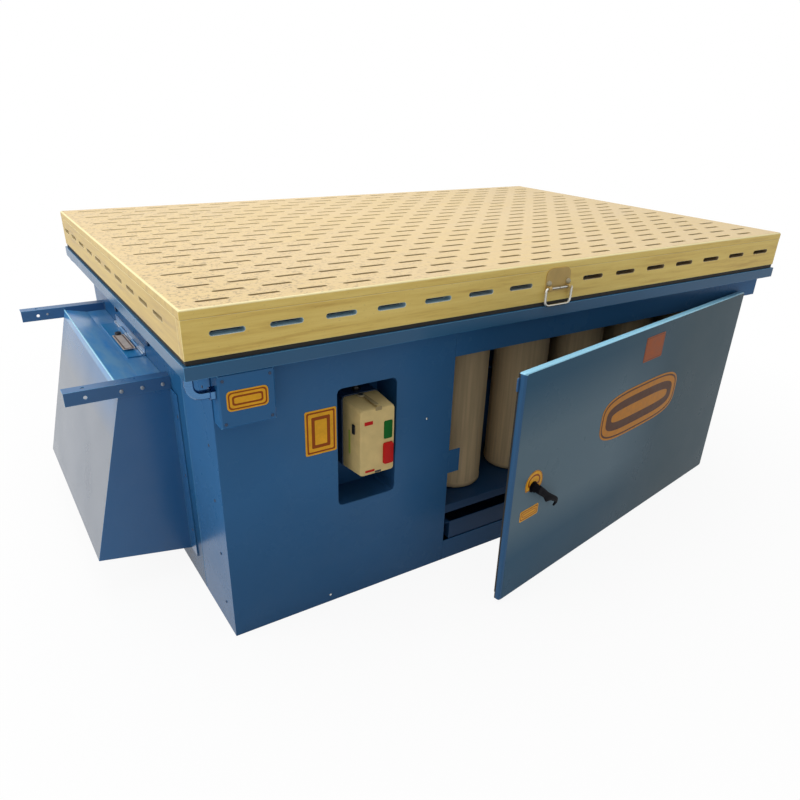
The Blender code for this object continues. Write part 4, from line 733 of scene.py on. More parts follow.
def side_board(name, node, axis, outward, middles, skipped=()):
    """One row of slots: the cell rims are half way between slots, and the end cells reach their margin.
    Seen from outside, the back and left boards run against their axis, so they are worked out mirrored."""
    low, high = (np.array(corner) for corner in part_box(node))
    mirrored = (outward > 0) == (axis == 0)
    start, stop, u = low[axis], high[axis], middles
    if mirrored:
        start, stop, u = -high[axis], -low[axis], -middles[::-1]
    between = (u[1:] + u[:-1]) / 2
    left = np.concatenate([[max(start + apron_margin, 2 * u[0] - between[0])], between])
    right = np.concatenate([between, [min(stop - apron_margin, 2 * u[-1] - between[-1])]])
    rise = low[2] + apron_slot_rise
    floor, ceiling = (np.full(len(u), rise + half) for half in (-apron_field_half, apron_field_half))
    keep = np.array([not any(abs(value - skip) < 0.001 for skip in skipped) for value in u])
    cells = (left[keep], floor[keep], right[keep], ceiling[keep])
    plain = None if keep.all() else (left[~keep], floor[~keep], right[~keep], ceiling[~keep])
    share = np.arange(run_steps) / run_steps
    us = np.append((left[:, None] + (right - left)[:, None] * share).reshape(-1), right[-1])
    vs = np.linspace(floor[0], ceiling[0], end_steps + 1)
    across = 1 - axis
    origin, u_axis = np.zeros(3), np.zeros(3)
    origin[across] = low[across] if outward < 0 else high[across]
    u_axis[axis] = -1 if mirrored else 1
    edges = (start, low[2], stop, high[2], high[across] - low[across])
    slotted_board(name, node, (origin, u_axis, (0, 0, 1)), (us, vs), cells,
                  (u[keep], np.full(keep.sum(), rise)), apron_slot, plain, edges,
                  (long_wood, cross_wood)[axis], (apron_round, apron_round))


side_board("front_board", "front_apron", 0, -1, long_middles, skipped=(0.0,))
side_board("back_board", "back_apron", 0, 1, long_middles)
side_board("left_board", "left_apron", 1, -1, end_middles)
side_board("right_board", "right_apron", 1, 1, end_middles)

# %% [markdown]
# ## Skins, plates and lathe shapes
# The other new pieces are stacks of loops. A plate's loops are its outline, drawn in step by step round the
# edge of its face. A lathe shape's loops are circles. Either way one function closes the skin.

# %% Loops
def outwards(points, quads):
    """The same closed skin, its quads turned round if the volume that they enclose comes out negative."""
    a, b, c, d = (points[quads[:, corner]] - points.mean(0) for corner in range(4))
    volume = np.sum(a * np.cross(b, c)) + np.sum(a * np.cross(c, d))
    return points, quads if volume > 0 else quads[:, ::-1]


def skin(loops, ends=True):
    """Closed skin over a stack of loops: each end is closed by its own middle, or the last loop meets the
    first."""
    if ends:
        first, last = (loops[end].mean(0) + 0 * loops[:1] for end in (0, -1))
        loops = np.concatenate([first, loops, last])
    return outwards(*many_grids(loops[None], wrap_rows=not ends, wrap_columns=True))


def rounded(half_u, half_v, corner, steps=5):
    """Counter-clockwise rectangle about the origin whose corners are quarter circles."""
    turn = np.linspace(0, np.pi / 2, steps + 1)
    angle = (np.arange(4)[:, None] * np.pi / 2 + turn).reshape(-1)
    u = np.repeat([1, -1, -1, 1], steps + 1) * (half_u - corner) + corner * np.cos(angle)
    v = np.repeat([1, 1, -1, -1], steps + 1) * (half_v - corner) + corner * np.sin(angle)
    return np.stack([u, v], -1)


def stacked(outline, levels):
    """One loop for each (inset, rise): the outline drawn in towards its middle by the inset, and raised."""
    middle, half = (outline.max(0) + outline.min(0)) / 2, (outline.max(0) - outline.min(0)) / 2
    inset, rise = np.array(levels, float).T
    flat = middle + (outline - middle) * (1 - inset[:, None, None] / half)
    return np.concatenate([flat, 0 * flat[..., :1] + rise[:, None, None]], -1)


def eased(thickness, ease, steps=3):
    """Levels of a slab from its back to its face, with a quarter circle round the edge of the face."""
    turn = np.linspace(0, np.pi / 2, steps + 1)
    edge = np.stack([ease * (1 - np.cos(turn)), thickness - ease * (1 - np.sin(turn))], -1)
    return [(0, 0), *edge.tolist(), (ease * 1.3, thickness)]


def slab(name, body, place, outline, thickness, ease, finish):
    """A flat plate with a rounded front edge, set on a face."""
    loops = set_on(stacked(outline, eased(thickness, ease)), *place)
    return make_piece(name, [skin(loops)], body, finish)


def turned(profile, origin, axis, steps=20):
    """Lathe shape: each (radius, height) of the profile goes round an axis that starts at the origin."""
    axis = np.array(axis, float) / np.linalg.norm(axis)
    side = np.cross(axis, (0, 0, 1) if abs(axis[2]) < 0.9 else (1, 0, 0))
    side /= np.linalg.norm(side)
    turn = np.arange(steps) * 2 * np.pi / steps
    ring = np.cos(turn)[:, None] * side + np.sin(turn)[:, None] * np.cross(axis, side)
    radius, height = np.array(profile, float).T
    return skin(radius[:, None, None] * ring + height[:, None, None] * axis + np.array(origin, float))


def arc(centre, radius, start, end, steps=8):
    """Points of a flat arc, its angles in degrees from the first axis towards the second."""
    turn = np.radians(np.linspace(start, end, steps + 1))
    return np.stack([centre[0] + radius * np.cos(turn), centre[1] + radius * np.sin(turn)], -1)


print("points of a rounded rectangle:", len(rounded(1, 1, 0.1)))

# %% [markdown]
# ## The door
# The door is one folded pan. Its face is drawn round the hole for the latch: every loop has as many points
# as that hole, so the skin runs from the hole over the face, rounds the edge, turns in at the back and comes
# home on the inside. The free edge has a wider bend than the others. The door stands ajar, so its points
# are given along the leaf, up, and out of its face. The bends are paler than the face, and the top one is
# palest, a painted highlight. The back of the side wall is black, a painted shadow line.

# %% Door axes
door_turn = math.radians(10.8)
door_along = (math.cos(door_turn), math.sin(door_turn), 0)
door_out = (math.sin(door_turn), -math.cos(door_turn), 0)
door_axes = np.array([door_along, (0, 0, 1), door_out])
door_face = (door_along, (0, 0, 1))


def in_door_axes(node):
    """Lowest and highest (along, up, out) of a frame solid, measured from the middle of the frame."""
    mesh = nodes[node].data
    points = np.empty(len(mesh.vertices) * 3, np.float32)
    mesh.vertices.foreach_get("co", points)
    measured = points.reshape(-1, 3) @ door_axes.T
    return measured.min(0), measured.max(0)


door_low, door_high = in_door_axes("door_skin")
latch_low, latch_high = in_door_axes("latch_plate")
latch_middle = (latch_low + latch_high)[:2] / 2
print("door's width and height:", (door_high - door_low)[:2].round(4))


def on_door(along, up, out=0.0):
    """The point of the door's face that is so far from its hinge edge, so high, and so far out of it."""
    face = np.array(door_out) * (door_high[2] + out)
    return tuple(np.array(door_along) * (door_high[0] - along) + face + np.array((0, 0, up)))


# %% Door leaf
door_corner = 0.006
door_lip = 0.030
door_sheet = 0.0015
latch_hole = 0.009
free_bend, side_bend, bend_depth = 0.011, 0.004, 0.006
face_margin = (0.0125, 0.0055)
inner_margin = (0.012, 0.0055)
side_depth, top_band = 0.003, 0.003
bend_levels, shadow_line_levels, top_levels = slice(3, 9), slice(9, 11), slice(3, 11)


def door_leaf():
    """Loops of rounded rectangles, each drawn in by one distance at the free edge and another elsewhere.
    Gives back the piece, its points and their marks: 1 on the bends, 2 on the top one, a painted highlight, 3
    at the back, a painted shadow line."""
    middle, half = (door_low + door_high)[:2] / 2, (door_high - door_low)[:2] / 2
    depth = door_high[2] - door_low[2]
    outline = rounded(*half, door_corner, 6)
    outline = np.concatenate([np.linspace(outline[i - 1], outline[i], 5)[1:] for i in range(len(outline))])
    turn = np.linspace(0, np.pi / 2, 7)
    fall = 1 - np.sin(turn)
    bend = np.stack([free_bend * fall, side_bend * fall, bend_depth * (1 - np.cos(turn))], -1)
    back = [(0, 0, depth - side_depth), (0, 0, depth), (door_lip, door_lip, depth)]
    inside = [(door_lip, door_lip, depth - door_sheet), (door_sheet, door_sheet, depth - door_sheet),
              (*inner_margin, door_sheet)]
    levels = np.array([(*face_margin, 0), *bend.tolist(), *back, *inside])
    free, others, drop = (level[:, None] for level in levels.T)
    share = (outline + half) / (2 * half)
    u = free - half[0] + share[:, 0] * (2 * half[0] - free - others)
    v = others - half[1] + share[:, 1] * (2 * half[1] - 2 * others)
    loops = np.stack([u + middle[0], v + middle[1], door_high[2] - drop + 0 * u], -1)
    away = loops[0, :, :2] - latch_middle
    ring = latch_middle + latch_hole * away / np.linalg.norm(away, axis=1, keepdims=True)
    face, within = (np.insert(ring, 2, door_high[2] - drop, axis=1)[None] for drop in (0, door_sheet))
    loops = np.concatenate([face, loops, within])
    points, quads = skin(loops, ends=False)
    points = points @ door_axes
    piece = make_piece("door_leaf", [outwards(points, quads)], "door", door_paint, crease=35)
    marks = np.zeros((len(loops), len(outline)))
    marks[bend_levels] = 1
    marks[shadow_line_levels] = 3
    marks[top_levels, outline[:, 1] > half[1] - top_band] = 2
    return piece, points, marks.reshape(-1)


def paint_bends(piece, points, marks, *finishes):
    """Adds the finishes. Each face takes the one that has the lowest number among its corners' marks."""
    for finish in finishes:
        piece.data.materials.append(finish)
    mark = marks[merge(points)[0]]
    corners = np.empty(len(piece.data.loops), np.int32)
    piece.data.loops.foreach_get("vertex_index", corners)
    starts = np.empty(len(piece.data.polygons), np.int32)
    piece.data.polygons.foreach_get("loop_start", starts)
    lowest = np.minimum.reduceat(mark[corners], starts).astype(np.int32)
    piece.data.polygons.foreach_set("material_index", lowest)


leaf, leaf_points, leaf_marks = door_leaf()
# the top bend takes a painted highlight, the back of the side wall black foam as a painted shadow line
paint_bends(leaf, leaf_points, leaf_marks, door_edge_paint, bend_highlight_paint, black_foam)
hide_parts("door_skin")
ear_place = on_door(1.1285, 0.6055, -0.0165)
slab("door_ear", "door", (ear_place, *door_face), rounded(0.0090, 0.0165, 0.004), 0.0025, 0.0008, arm_paint)

# %% [markdown]
# ## Filters
# Each cartridge is a lathe shape: a rounded foot cap, a body wrapped in cloth, and a head cap with the hole
# that the clean air leaves by. The cloth sits a little deeper than the caps.

# %% Cartridges
cap_height = 0.020
cap_round = 0.013
wrap_depth = 0.0012
wrap_step = 0.0015
head_edge = 0.002
bore_share = 0.62
cartridge_steps = 72


def cartridge(number):
    """The profile goes up the outside as (radius, height), over the head and down the bore."""
    low, high = (np.array(corner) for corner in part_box(f"filter_cartridge_{number}"))
    radius, height = (high[0] - low[0]) / 2, high[2] - low[2]
    foot = arc((radius - cap_round, cap_round), cap_round, -90, 0, 6).tolist()
    body, bore = radius - wrap_depth, radius * bore_share
    wall = [(radius, cap_height), (body, cap_height + wrap_step), (body, height - cap_height - wrap_step)]
    head = [(radius, height - cap_height), (radius, height - head_edge), (radius - head_edge, height)]
    profile = [(0, 0), *foot, *wall, *head, (bore, height), (bore, cap_height), (0, cap_height)]
    base = ((low[0] + high[0]) / 2, (low[1] + high[1]) / 2, low[2])
    skins = [turned(profile, base, (0, 0, 1), cartridge_steps)]
    piece = make_piece(f"cartridge_{number}", skins, "cabinet", cream_felt)
    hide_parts(f"filter_cartridge_{number}")


for number in range(1, 6):
    cartridge(number)

# %% [markdown]
# ## Plates
# The table carries small coloured plates. They are left plain: a rounded outline with one or two dark rules
# inside its edge. The rules are a layer of the plate's own skin, one between two of its loops and zero
# elsewhere, so their edges stay sharp at any size of picture.

# %% Plate shapes
oval_points = 48
plate_depth = 0.0006
plate_back = -0.0002
rule_edge = 0.0001


def printed_plate(name, body, place, outline, finish, *rules):
    """A thin plate: loops at its back, round its edge, and on both sides of each rule, which is given by how
    far in it starts and ends."""
    levels = [(0, plate_back), (0, plate_depth - rule_edge), (rule_edge, plate_depth)]
    for start, end in rules:
        levels += [(inset, plate_depth) for inset in (start, start + rule_edge, end, end + rule_edge)]
    points, quads = skin(set_on(stacked(outline, levels), *place))
    piece = make_piece(name, [(points, quads)], body, finish)
    marks = np.repeat([0, 0, 0, 0] + [0, 1, 1, 0] * len(rules) + [0], len(outline))
    add_marks(piece, points, rule=marks)


def half_round(radius, flat):
    """Outline of a disc cut off below: an arc that starts and ends on the flat."""
    start = math.degrees(math.asin(flat / radius))
    return arc((0, 0), radius, start, 180 - start, 24)


def oval(half_u, half_v, power=3.6):
    """Outline between an ellipse and a rectangle: |u/a|^p + |v/b|^p = 1."""
    turn = np.arange(oval_points) * 2 * np.pi / oval_points
    unit = np.stack([np.cos(turn), np.sin(turn)], -1)
    return np.sign(unit) * np.abs(unit) ** (2 / power) * np.array((half_u, half_v))


# %% Plates
front_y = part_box("front_left_panel")[0][1]
left_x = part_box("left_end_panel")[0][0]
box_low, box_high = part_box("junction_box")
lid_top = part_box("hood_lid")[1][2]
front_face = ((1, 0, 0), (0, 0, 1))
left_face = ((0, -1, 0), (0, 0, 1))
lid_face = ((0, 1, 0), (-1, 0, 0))
# name, body, place, outline, finish, rules
plates = [
    ("plate_on_front", "cabinet", ((-0.6405, front_y, 0.4885), *front_face),
     rounded(0.039, 0.0545, 0.004), amber, (0.0040, 0.0080), (0.0160, 0.0240)),
    ("plate_on_box", "cabinet", ((-0.818, box_low[1], 0.6215), *front_face),
     rounded(0.0435, 0.0215, 0.009), amber, (0.0030, 0.0060), (0.0110, 0.0150)),
    ("plate_by_latch", "door", (on_door(1.0435, 0.330), *door_face),
     half_round(0.0345, -0.016), amber, (0.0006, 0.0024), (0.0100, 0.0150)),
    ("plate_under_latch", "door", (on_door(1.0480, 0.2465), *door_face),
     rounded(0.0370, 0.0150, 0.004), amber, (0.0030, 0.0060), (0.0095, 0.0120)),
    ("plate_high_on_door", "door", (on_door(0.550, 0.570), *door_face),
     rounded(0.050, 0.035, 0.004), orange, (0.0028, 0.0042)),
    ("plate_on_door", "door", (on_door(0.5645, 0.4027), *door_face),
     oval(0.2035, 0.0700), name_amber, (0.0050, 0.0100), (0.0260, 0.0520)),
    ("plate_under_knob", "lid", ((-0.9080, 0.0720, lid_top), *lid_face),
     rounded(0.0660, 0.0155, 0.003), brown, (0.0030, 0.0070)),
]
for plate in plates:
    printed_plate(*plate)

# %% [markdown]
# ## The hood's bead
# The hood's top and its sloping outer face meet in a seam, and the bead along it catches the light. A round
# bar laid into the seam, in a pale painted highlight, gives that line at less cost than a wide bevel on the
# hood.

# %% Hood bead
bead_radius = 0.0022
bead_x = -0.9945
bead_z = hood_high[2] - 0.0008


def bar(path, radius, normal, steps=12):
    """Round bar along a flat path: at each point a circle square to the path, which lies across the
    normal."""
    path, normal = np.array(path, float), np.array(normal, float)
    along = np.gradient(path, axis=0)
    along /= np.linalg.norm(along, axis=1, keepdims=True)
    across = np.cross(along, normal)
    turn = (np.arange(steps) * 2 * np.pi / steps)[None, :, None]
    return skin(path[:, None] + radius * (np.cos(turn) * normal + np.sin(turn) * across[:, None]))


bead_ends = [(bead_x, y, bead_z) for y in (hood_low[1] + hood_flange, hood_high[1] - hood_flange)]
bead_skin = bar(np.linspace(*bead_ends, 9), bead_radius, (0, 0, 1))
bead = make_piece("hood_highlight_bead", [bead_skin], "cabinet", bend_highlight_paint)

# %% [markdown]
# ## Screws, bolts, rivets and eyes
# A fastener's head is a lathe shape a few millimetres across; with six steps round the axis it becomes a hex
# head. All heads of one kind on one body make one piece. The eyes that the chest handle's bail hangs in are
# turned in the same way.

# %% Heads
pan_head = [(0.0048, -0.0003), (0.0048, 0.0007), (0.0042, 0.0018), (0.0030, 0.0026), (0.0012, 0.0030)]
small_head = [(0.0034, -0.0003), (0.0034, 0.0005), (0.0028, 0.0014), (0.0014, 0.0020)]
hex_head = [(0.0082, -0.0003), (0.0082, 0.0048), (0.0070, 0.0056)]
rivet = [(0.0030, -0.0003), (0.0029, 0.0004), (0.0020, 0.0010), (0.0008, 0.0013)]
eye = [(0.0070, -0.0003), (0.0070, 0.0030), (0.0058, 0.0052), (0.0034, 0.0066), (0.0015, 0.0070)]
to_left, to_right, to_front, to_back, up = (-1, 0, 0), (1, 0, 0), (0, -1, 0), (0, 1, 0), (0, 0, 1)


def heads(name, body, places, axis, profile, finish, steps=16):
    """Fastener heads in one piece: the same lathe shape on each place."""
    return make_piece(name, [turned(profile, place, axis, steps) for place in places], body, finish)


# %% Where they sit
flange_sheet = 0.0017
flange_inset = 0.012
plate_sheet = 0.002
eye_spread = 0.032
eye_rise = 0.0095
screw_rows = (0.022, 0.650)

strip_screws = [(left_x, -0.5185, z) for z in (0.4915, 0.354, 0.2105, 0.069, 0.625)]
wall_bolts = [(left_x, y, 0.590) for y in (0.2485, -0.0935)]
front_rivets = [(-0.3509, front_y, 0.455), (-0.6259, front_y, 0.021)]
box_screws = [(x, box_low[1], z) for x in (box_low[0] + 0.010, box_high[0] - 0.010)
              for z in (box_low[2] + 0.010, box_high[2] - 0.012)]
hood_bolts = [(left_x - flange_sheet, y, z) for y in (hood_high[1] - flange_inset, hood_low[1] + flange_inset)
              for z in (0.150, 0.310, 0.470)]


def arm_bolts(node, shares, rise):
    """Bolts through the upright leg of an arm, at shares of its length, seen on its outer side."""
    low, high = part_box(node)
    middle = (low[2] + high[2]) / 2
    return [(low[0] + share * (high[0] - low[0]), low[1], middle + rise) for share in shares]


front_arm_bolts = arm_bolts("front_arm", (0.52, 0.72, 0.92), -0.002)
rear_arm_bolts = arm_bolts("rear_arm", (0.30,), 0.0)
bail_low, bail_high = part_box("handle_bail")
handle_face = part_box("handle_plate")[1][1] - plate_sheet
bail_middle = (bail_low[0] + bail_high[0]) / 2
eyes = [(bail_middle + side * eye_spread, handle_face, bail_high[2] + eye_rise) for side in (-1, 1)]
rear_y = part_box("rear_panel")[1][1]
rear_screws = [(x, rear_y, z) for x in np.linspace(-0.862, 0.862, 7) for z in screw_rows]
right_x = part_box("right_end_panel")[1][0]
right_screws = [(right_x, y, z) for y in np.linspace(-0.535, 0.535, 5) for z in screw_rows]
print("screws at the back and the right end:", len(rear_screws) + len(right_screws))

# %% Fasteners
heads("strip_screws", "cabinet", strip_screws, to_left, small_head, painted_bolt)
heads("wall_bolts", "cabinet", wall_bolts, to_left, hex_head, painted_bolt, 6)
heads("front_rivets", "cabinet", front_rivets, to_front, rivet, bright_steel)
heads("box_screws", "cabinet", box_screws, to_front, small_head, painted_bolt)
heads("hood_bolts", "cabinet", hood_bolts, to_left, pan_head, painted_bolt)
heads("front_arm_bolts", "cabinet", front_arm_bolts, to_front, pan_head, arm_bolt)
heads("rear_arm_bolts", "cabinet", rear_arm_bolts, to_front, small_head, arm_bolt)
heads("handle_eyes", "top", eyes, to_front, eye, eye_metal, 24)
heads("rear_screws", "cabinet", rear_screws, to_back, pan_head, painted_bolt)
heads("right_screws", "cabinet", right_screws, to_right, pan_head, painted_bolt)

# %% [markdown]
# ## The starter's trim
# The starter's case is plain in the frame. On its cover the real one has red and black marks on the front, a
# notch at the head and one at the foot, a groove and a ringed screw hole on top, and a lime strip and a
# black lever on the left side. Each is a small slab, a fraction of a millimetre proud of the case. The
# notches and the groove are dark slabs, a painted shade, and the hole's black disc is painted shade too.

# %% Starter trim
cover_low, cover_high = (np.array(corner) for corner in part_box("starter_cover"))
cover_middle = (cover_low + cover_high) / 2
cover_x, cover_y, cover_z = cover_middle
top_face = ((1, 0, 0), (0, 1, 0))
# name, origin, face, half sizes and corner, thickness, ease, finish
trim = [
    ("starter_strip", (cover_x - 0.020, cover_low[1], cover_low[2] + 0.018), front_face,
     (0.0125, 0.0028, 0.001), 0.0008, 0.0004, red_plastic),
    ("starter_mark", (cover_x - 0.024, cover_low[1], cover_high[2] - 0.040), front_face,
     (0.011, 0.0045, 0.001), 0.0006, 0.0003, red_plastic),
    # painted shade: a raised ridge in darker brown stands for the groove
    ("starter_ridge", (cover_x, cover_y, cover_high[2]), top_face,
     (0.005, 0.036, 0.002), 0.0012, 0.0006, starter_shade),
    # painted shade: the notches are dark slabs
    ("starter_top_notch", (cover_x + 0.002, cover_low[1], cover_high[2] - 0.0080), front_face,
     (0.0085, 0.0045, 0.002), 0.0006, 0.0003, starter_shade),
    ("starter_foot_notch", (cover_x + 0.002, cover_low[1], cover_low[2] + 0.0125), front_face,
     (0.0085, 0.0026, 0.002), 0.0006, 0.0003, black_plastic),
    ("starter_side_strip", (cover_low[0], cover_y + 0.008, cover_z - 0.010), left_face,
     (0.0035, 0.030, 0.001), 0.0008, 0.0004, lime_plastic),
    ("starter_lever", (cover_low[0], cover_y - 0.012, cover_z + 0.030), left_face,
     (0.006, 0.012, 0.003), 0.0020, 0.0008, black_plastic),
]
for name, origin, face, size, thickness, ease, finish in trim:
    slab(name, "cabinet", (origin, *face), rounded(*size), thickness, ease, finish)

screw_top = (cover_x - 0.006, cover_high[1] - 0.012, cover_high[2])
ring_profile = [(0.0092, -0.0003), (0.0092, 0.0020), (0.0080, 0.0032), (0.0020, 0.0032)]
hole_profile = [(0.0060, -0.0002), (0.0060, 0.0034), (0.0020, 0.0036)]
heads("starter_ring", "cabinet", [screw_top], up, ring_profile, eye_metal, 24)
# painted shade: a black disc for the dark inside of the screw hole
heads("starter_hole", "cabinet", [screw_top], up, hole_profile, black_plastic, 24)

# %% [markdown]
# ## The latch
# The latch handle is a short hub, a straight grip that gets thinner towards its end, and a hooked tip. Its
# middle line is a path in the plane of the door, and flat oval rings stand square on that line. A collar
# lies on the door round the hub. It doesn't turn with the handle, so it rides on the door.

# %% Latch handle
grip_along = [0.000, 0.016, 0.036, 0.058, 0.076, 0.086, 0.089, 0.082]
grip_drop = [0.000, -0.013, -0.029, -0.044, -0.055, -0.063, -0.073, -0.081]
grip_out = [0.017, 0.019, 0.021, 0.021, 0.020, 0.018, 0.016, 0.014]
grip_half = [0.0110, 0.0102, 0.0086, 0.0080, 0.0074, 0.0066, 0.0056, 0.0034]
grip_rings = 36
grip_flatness = 0.6
barb_height, barb_middle, barb_reach = 0.0080, 2.3, 0.45


def latch_grip():
    """Oval rings along the grip: the width falls from hub to tip, and a bell curve adds the barb below."""
    upright = np.array((0, 0, 1.0))
    share = np.linspace(0, 7, grip_rings)
    path = np.stack([np.interp(share, range(8), value) for value in (grip_along, grip_drop, grip_out)], -1)
    width = np.interp(share, range(8), grip_half)[:, None, None]
    path[1:-1] = (path[:-2] + path[1:-1] * 2 + path[2:]) / 4
    along = np.gradient(path, axis=0)
    along /= np.linalg.norm(along, axis=1, keepdims=True)
    across = np.cross(along, upright)
    turn = (np.arange(16) * 2 * np.pi / 16)[None, :, None]
    bell = barb_height * np.exp(-((share - barb_middle) / barb_reach) ** 2)[:, None, None]
    sides = (width + bell * np.clip(np.cos(turn), 0, 1)) * np.cos(turn) * across[:, None]
    loops = path[:, None] + sides + grip_flatness * width * np.sin(turn) * upright
    return (loops + np.array((*latch_middle, door_high[2]))) @ door_axes


hub_foot = np.array((*latch_middle, door_high[2])) @ door_axes
hub_profile = [(0.0108, 0.0016), (0.0118, 0.0030), (0.0120, 0.0100), (0.0100, 0.0130), (0.0100, 0.0220),
               (0.0085, 0.0245)]
grip_skins = [skin(latch_grip()), turned(hub_profile, hub_foot, door_out, 24)]
grip = make_piece("latch_handle", grip_skins, "latch", grip_black)
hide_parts("latch_lever")
collar_profile = [(0.0150, -0.0003), (0.0150, 0.0014), (0.0135, 0.0024), (0.0128, 0.0024), (0.0128, 0.0008)]
collar = heads("latch_collar", "door", [hub_foot], door_out, collar_profile, grip_black, 24)
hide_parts("latch_plate")

# %% [markdown]
# ## Soft edges on the folded sheet
# Folded and sheared sheet has small rounded edges, and they catch the light. The frame's own solids stay
# as they are; a Weld joins their loose triangles, a narrow Bevel rounds the edges, and a small node group
# shades the rest smooth where faces meet at a shallow angle.

# %% Edge modifiers
shallow_angle = 35
bevel_angle = 50
bevel_segments = 2


def smooth_group():
    """A node group that shades smooth, except along edges sharper than the shallow angle."""
    group = bpy.data.node_groups.new("smooth_shallow_edges", "GeometryNodeTree")
    for way in ("INPUT", "OUTPUT"):
        group.interface.new_socket("Geometry", in_out=way, socket_type="NodeSocketGeometry")
    start, end = group.nodes.new("NodeGroupInput"), group.nodes.new("NodeGroupOutput")
    faces = group.nodes.new("GeometryNodeSetShadeSmooth")
    faces.domain = "FACE"
    edges = group.nodes.new("GeometryNodeSetShadeSmooth")
    edges.domain = "EDGE"
    edges.inputs["Shade Smooth"].default_value = False
    angle = group.nodes.new("GeometryNodeInputMeshEdgeAngle")
    steep = group.nodes.new("FunctionNodeCompare")
    steep.operation = "GREATER_THAN"
    steep.inputs[1].default_value = math.radians(shallow_angle)
    group.links.new(start.outputs[0], faces.inputs["Geometry"])
    group.links.new(faces.outputs[0], edges.inputs["Geometry"])
    group.links.new(angle.outputs["Unsigned Angle"], steep.inputs[0])
    group.links.new(steep.outputs[0], edges.inputs["Selection"])
    group.links.new(edges.outputs[0], end.inputs[0])
    return group


shallow = smooth_group()


def soften(node, width, smooth):
    """Weld and round the edges by a width in metres; smooth shades shallow edges smooth."""
    weld = node.modifiers.new("weld", "WELD")
    weld.merge_threshold = merge_step
    if width:
        edge = node.modifiers.new("edge", "BEVEL")
        edge.width = width
        edge.segments = bevel_segments
        edge.limit_method = "ANGLE"
        edge.angle_limit = math.radians(bevel_angle)
        edge.material = len(node.data.materials) - 1
    if smooth:
        shade = node.modifiers.new("shade", "NODES")
        shade.node_group = shallow


print("node group ready:", shallow.name)

# %% [markdown]
# ## Dressing the frame
# Every solid that keeps its own shape gets a finish here. Some painted sheet also gets a brighter finish on
# its rounded edges, a painted highlight. Turned and round parts are shaded smooth, and panels stay flat.

# %% Dress the frame
sheet_edge = 0.0008
fine_edge = 0.0006
# finish, finish of the edges, their width, shaded smooth, solids
dressing = [
    (front_paint, None, sheet_edge, False, "front_left_panel front_frame latch_keeper"),
    (blue_paint, edge_highlight_paint, sheet_edge, False, "rear_panel right_end_panel junction_box"),
    (end_paint, edge_highlight_paint, sheet_edge, False, "left_end_panel"),
    (rim_paint, edge_highlight_paint, sheet_edge, False, "top_rim"),
    (hood_paint, edge_highlight_paint, fine_edge, False, "exhaust_hood"),
    # the lid takes the lighter blue, a painted light
    (lid_lit_paint, edge_highlight_paint, sheet_edge, False, "hood_lid"),
    (arm_paint, edge_highlight_paint, fine_edge, False, "front_arm rear_arm"),
    (recess_shade_paint, None, fine_edge, False, "starter_recess"),
    # the inside parts take the dark blue, a painted shade
    (inner_shade_paint, None, fine_edge, False, "base_pan divider_panel duct_wall plenum_deck filter_shelf "
     "dust_tray tray_rail_left tray_rail_right motor_stand tube_sheet"),
    (inner_shade_paint, None, 0, True, "fan_scroll"),
    (blue_paint, None, 0, True, "door_hinge_frame_leaf door_hinge_door_leaf"),
    (conduit_steel, None, 0, True, "conduit_elbow"),
    (hinge_bar, None, 0, True, "lid_hinge"),
    (dull_steel, None, 0, True, "impeller latch_cam"),
    (bright_steel, None, 0, True, "motor_shaft handle_bail left_top_hinge_rim_leaf "
     "left_top_hinge_top_leaf right_top_hinge_rim_leaf right_top_hinge_top_leaf"),
    (tarnished, None, 0, True, "handle_plate"),
    (motor_grey, None, 0, True, "fan_motor"),
    # painted shade: the starter's base is dark, as the recess's shadow
    (painted_bolt, None, sheet_edge, False, "starter_base"),
    (starter_grey, None, sheet_edge, False, "starter_cover"),
    (black_plastic, None, fine_edge, True, "starter_gland lid_knob"),
    (black_foam, None, sheet_edge, False, "rim_gasket door_seal"),
    (green_plastic, None, sheet_edge, True, "start_button"),
    (red_plastic, None, sheet_edge, True, "stop_button"),
]
for finish, edge_finish, width, smooth, names in dressing:
    for name in names.split():
        node = nodes[name]
        node.data.materials.clear()
        for coat in filter(None, (finish, edge_finish)):
            node.data.materials.append(coat)
        soften(node, width, smooth)
print("solids dressed:", sum(len(names.split()) for *_, names in dressing))

# %% [markdown]
# ## Floor, light and air
# The table stands on a plain pale floor in a soft studio. A wide lamp overhead lights the board, a
# second one the left end, and the world fills the rest. The floor and the world are white to the camera and
# to reflections, and the floor keeps the table's shadow.

# %% Floor
floor_reach = 30.0
floor_grey = (0.82, 0.82, 0.82, 1)
white = (1, 1, 1, 1)
shadow_reach = (0.9, 2.2)
shadow_whiteness = 0.92


def seen_directly(recipe):
    """One where a ray comes from the camera, a reflection or through glass, else zero."""
    rays = recipe.add("LightPath", 0, {}).node.outputs
    first = recipe.joined("MAXIMUM", rays["Is Camera Ray"], rays["Is Glossy Ray"])
    return recipe.joined("MAXIMUM", first, rays["Is Transmission Ray"])


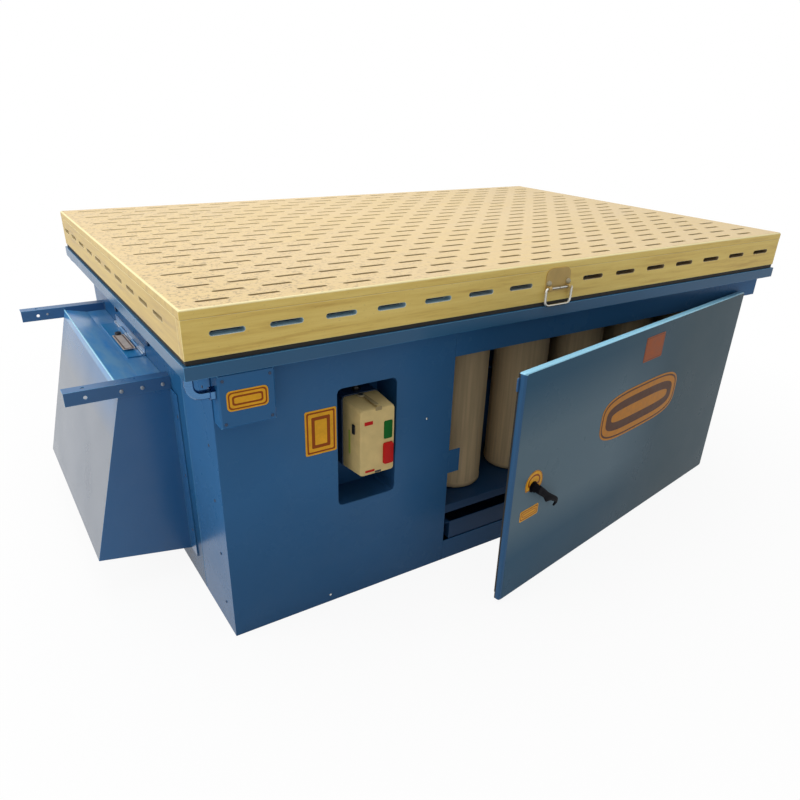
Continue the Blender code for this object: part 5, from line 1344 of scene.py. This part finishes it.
def pale_floor():
    """A flat floor whose lit colour is mixed with plain white, all white further out."""
    material = bpy.data.materials.new("pale_floor")
    material.use_nodes = True
    material.node_tree.nodes.clear()
    recipe = Recipe(material.node_tree)
    lit = recipe.add("BsdfDiffuse", 0, {"Color": floor_grey})
    plain = recipe.add("Emission", 0, {"Color": white})
    where = recipe.add("TexCoord", "Object", {})
    distance = recipe.add("VectorMath", "Value", {0: where}, operation="LENGTH")
    share = recipe.spread(distance, *shadow_reach, shadow_whiteness, 1.0)
    seen = recipe.joined("MULTIPLY", seen_directly(recipe), share)
    both = recipe.add("MixShader", 0, {0: seen, 1: lit, 2: plain})
    recipe.feed(recipe.nodes.new("ShaderNodeOutputMaterial"), {"Surface": both})
    mesh = bpy.data.meshes.new("floor")
    corners = [(x * floor_reach, y * floor_reach, 0) for x, y in ((-1, -1), (1, -1), (1, 1), (-1, 1))]
    mesh.from_pydata(corners, [], [(0, 1, 2, 3)])
    mesh.materials.append(material)
    floor = bpy.data.objects.new("floor", mesh)
    bpy.context.scene.collection.objects.link(floor)


pale_floor()
print("floor of", 2 * floor_reach, "metres a side")

# %% Light and air
world_fill = 0.40


def lamp(name, place, target, size, power):
    """A square soft lamp at a place, turned to a target; power in watts."""
    data = bpy.data.lights.new(name, "AREA")
    data.shape = "SQUARE"
    data.size = size
    data.energy = power
    light = bpy.data.objects.new(name, data)
    light.location = place
    direction = np.array(target, float) - np.array(place, float)
    light.rotation_euler = Vector(direction).to_track_quat("-Z", "Y").to_euler()
    bpy.context.scene.collection.objects.link(light)
    print(name, "of", power, "watts")


def soft_world():
    """White to the camera and to reflections, and a dimmer even fill to everything else."""
    world = bpy.data.worlds.new("soft_studio")
    bpy.context.scene.world = world
    world.use_nodes = True
    recipe = Recipe(world.node_tree)
    strength = recipe.spread(seen_directly(recipe), 0.0, 1.0, world_fill, 1.0)
    recipe.feed(recipe.nodes["Background"], {"Color": white, "Strength": strength})


soft_world()
lamp("overhead", (-0.3, 0.2, 3.2), (0, 0, 0.5), 3.0, 72)
lamp("left_window", (-3.2, 0.0, 1.7), (-0.6, 0.0, 0.4), 2.0, 32)
bpy.context.scene.view_settings.view_transform = "Standard"
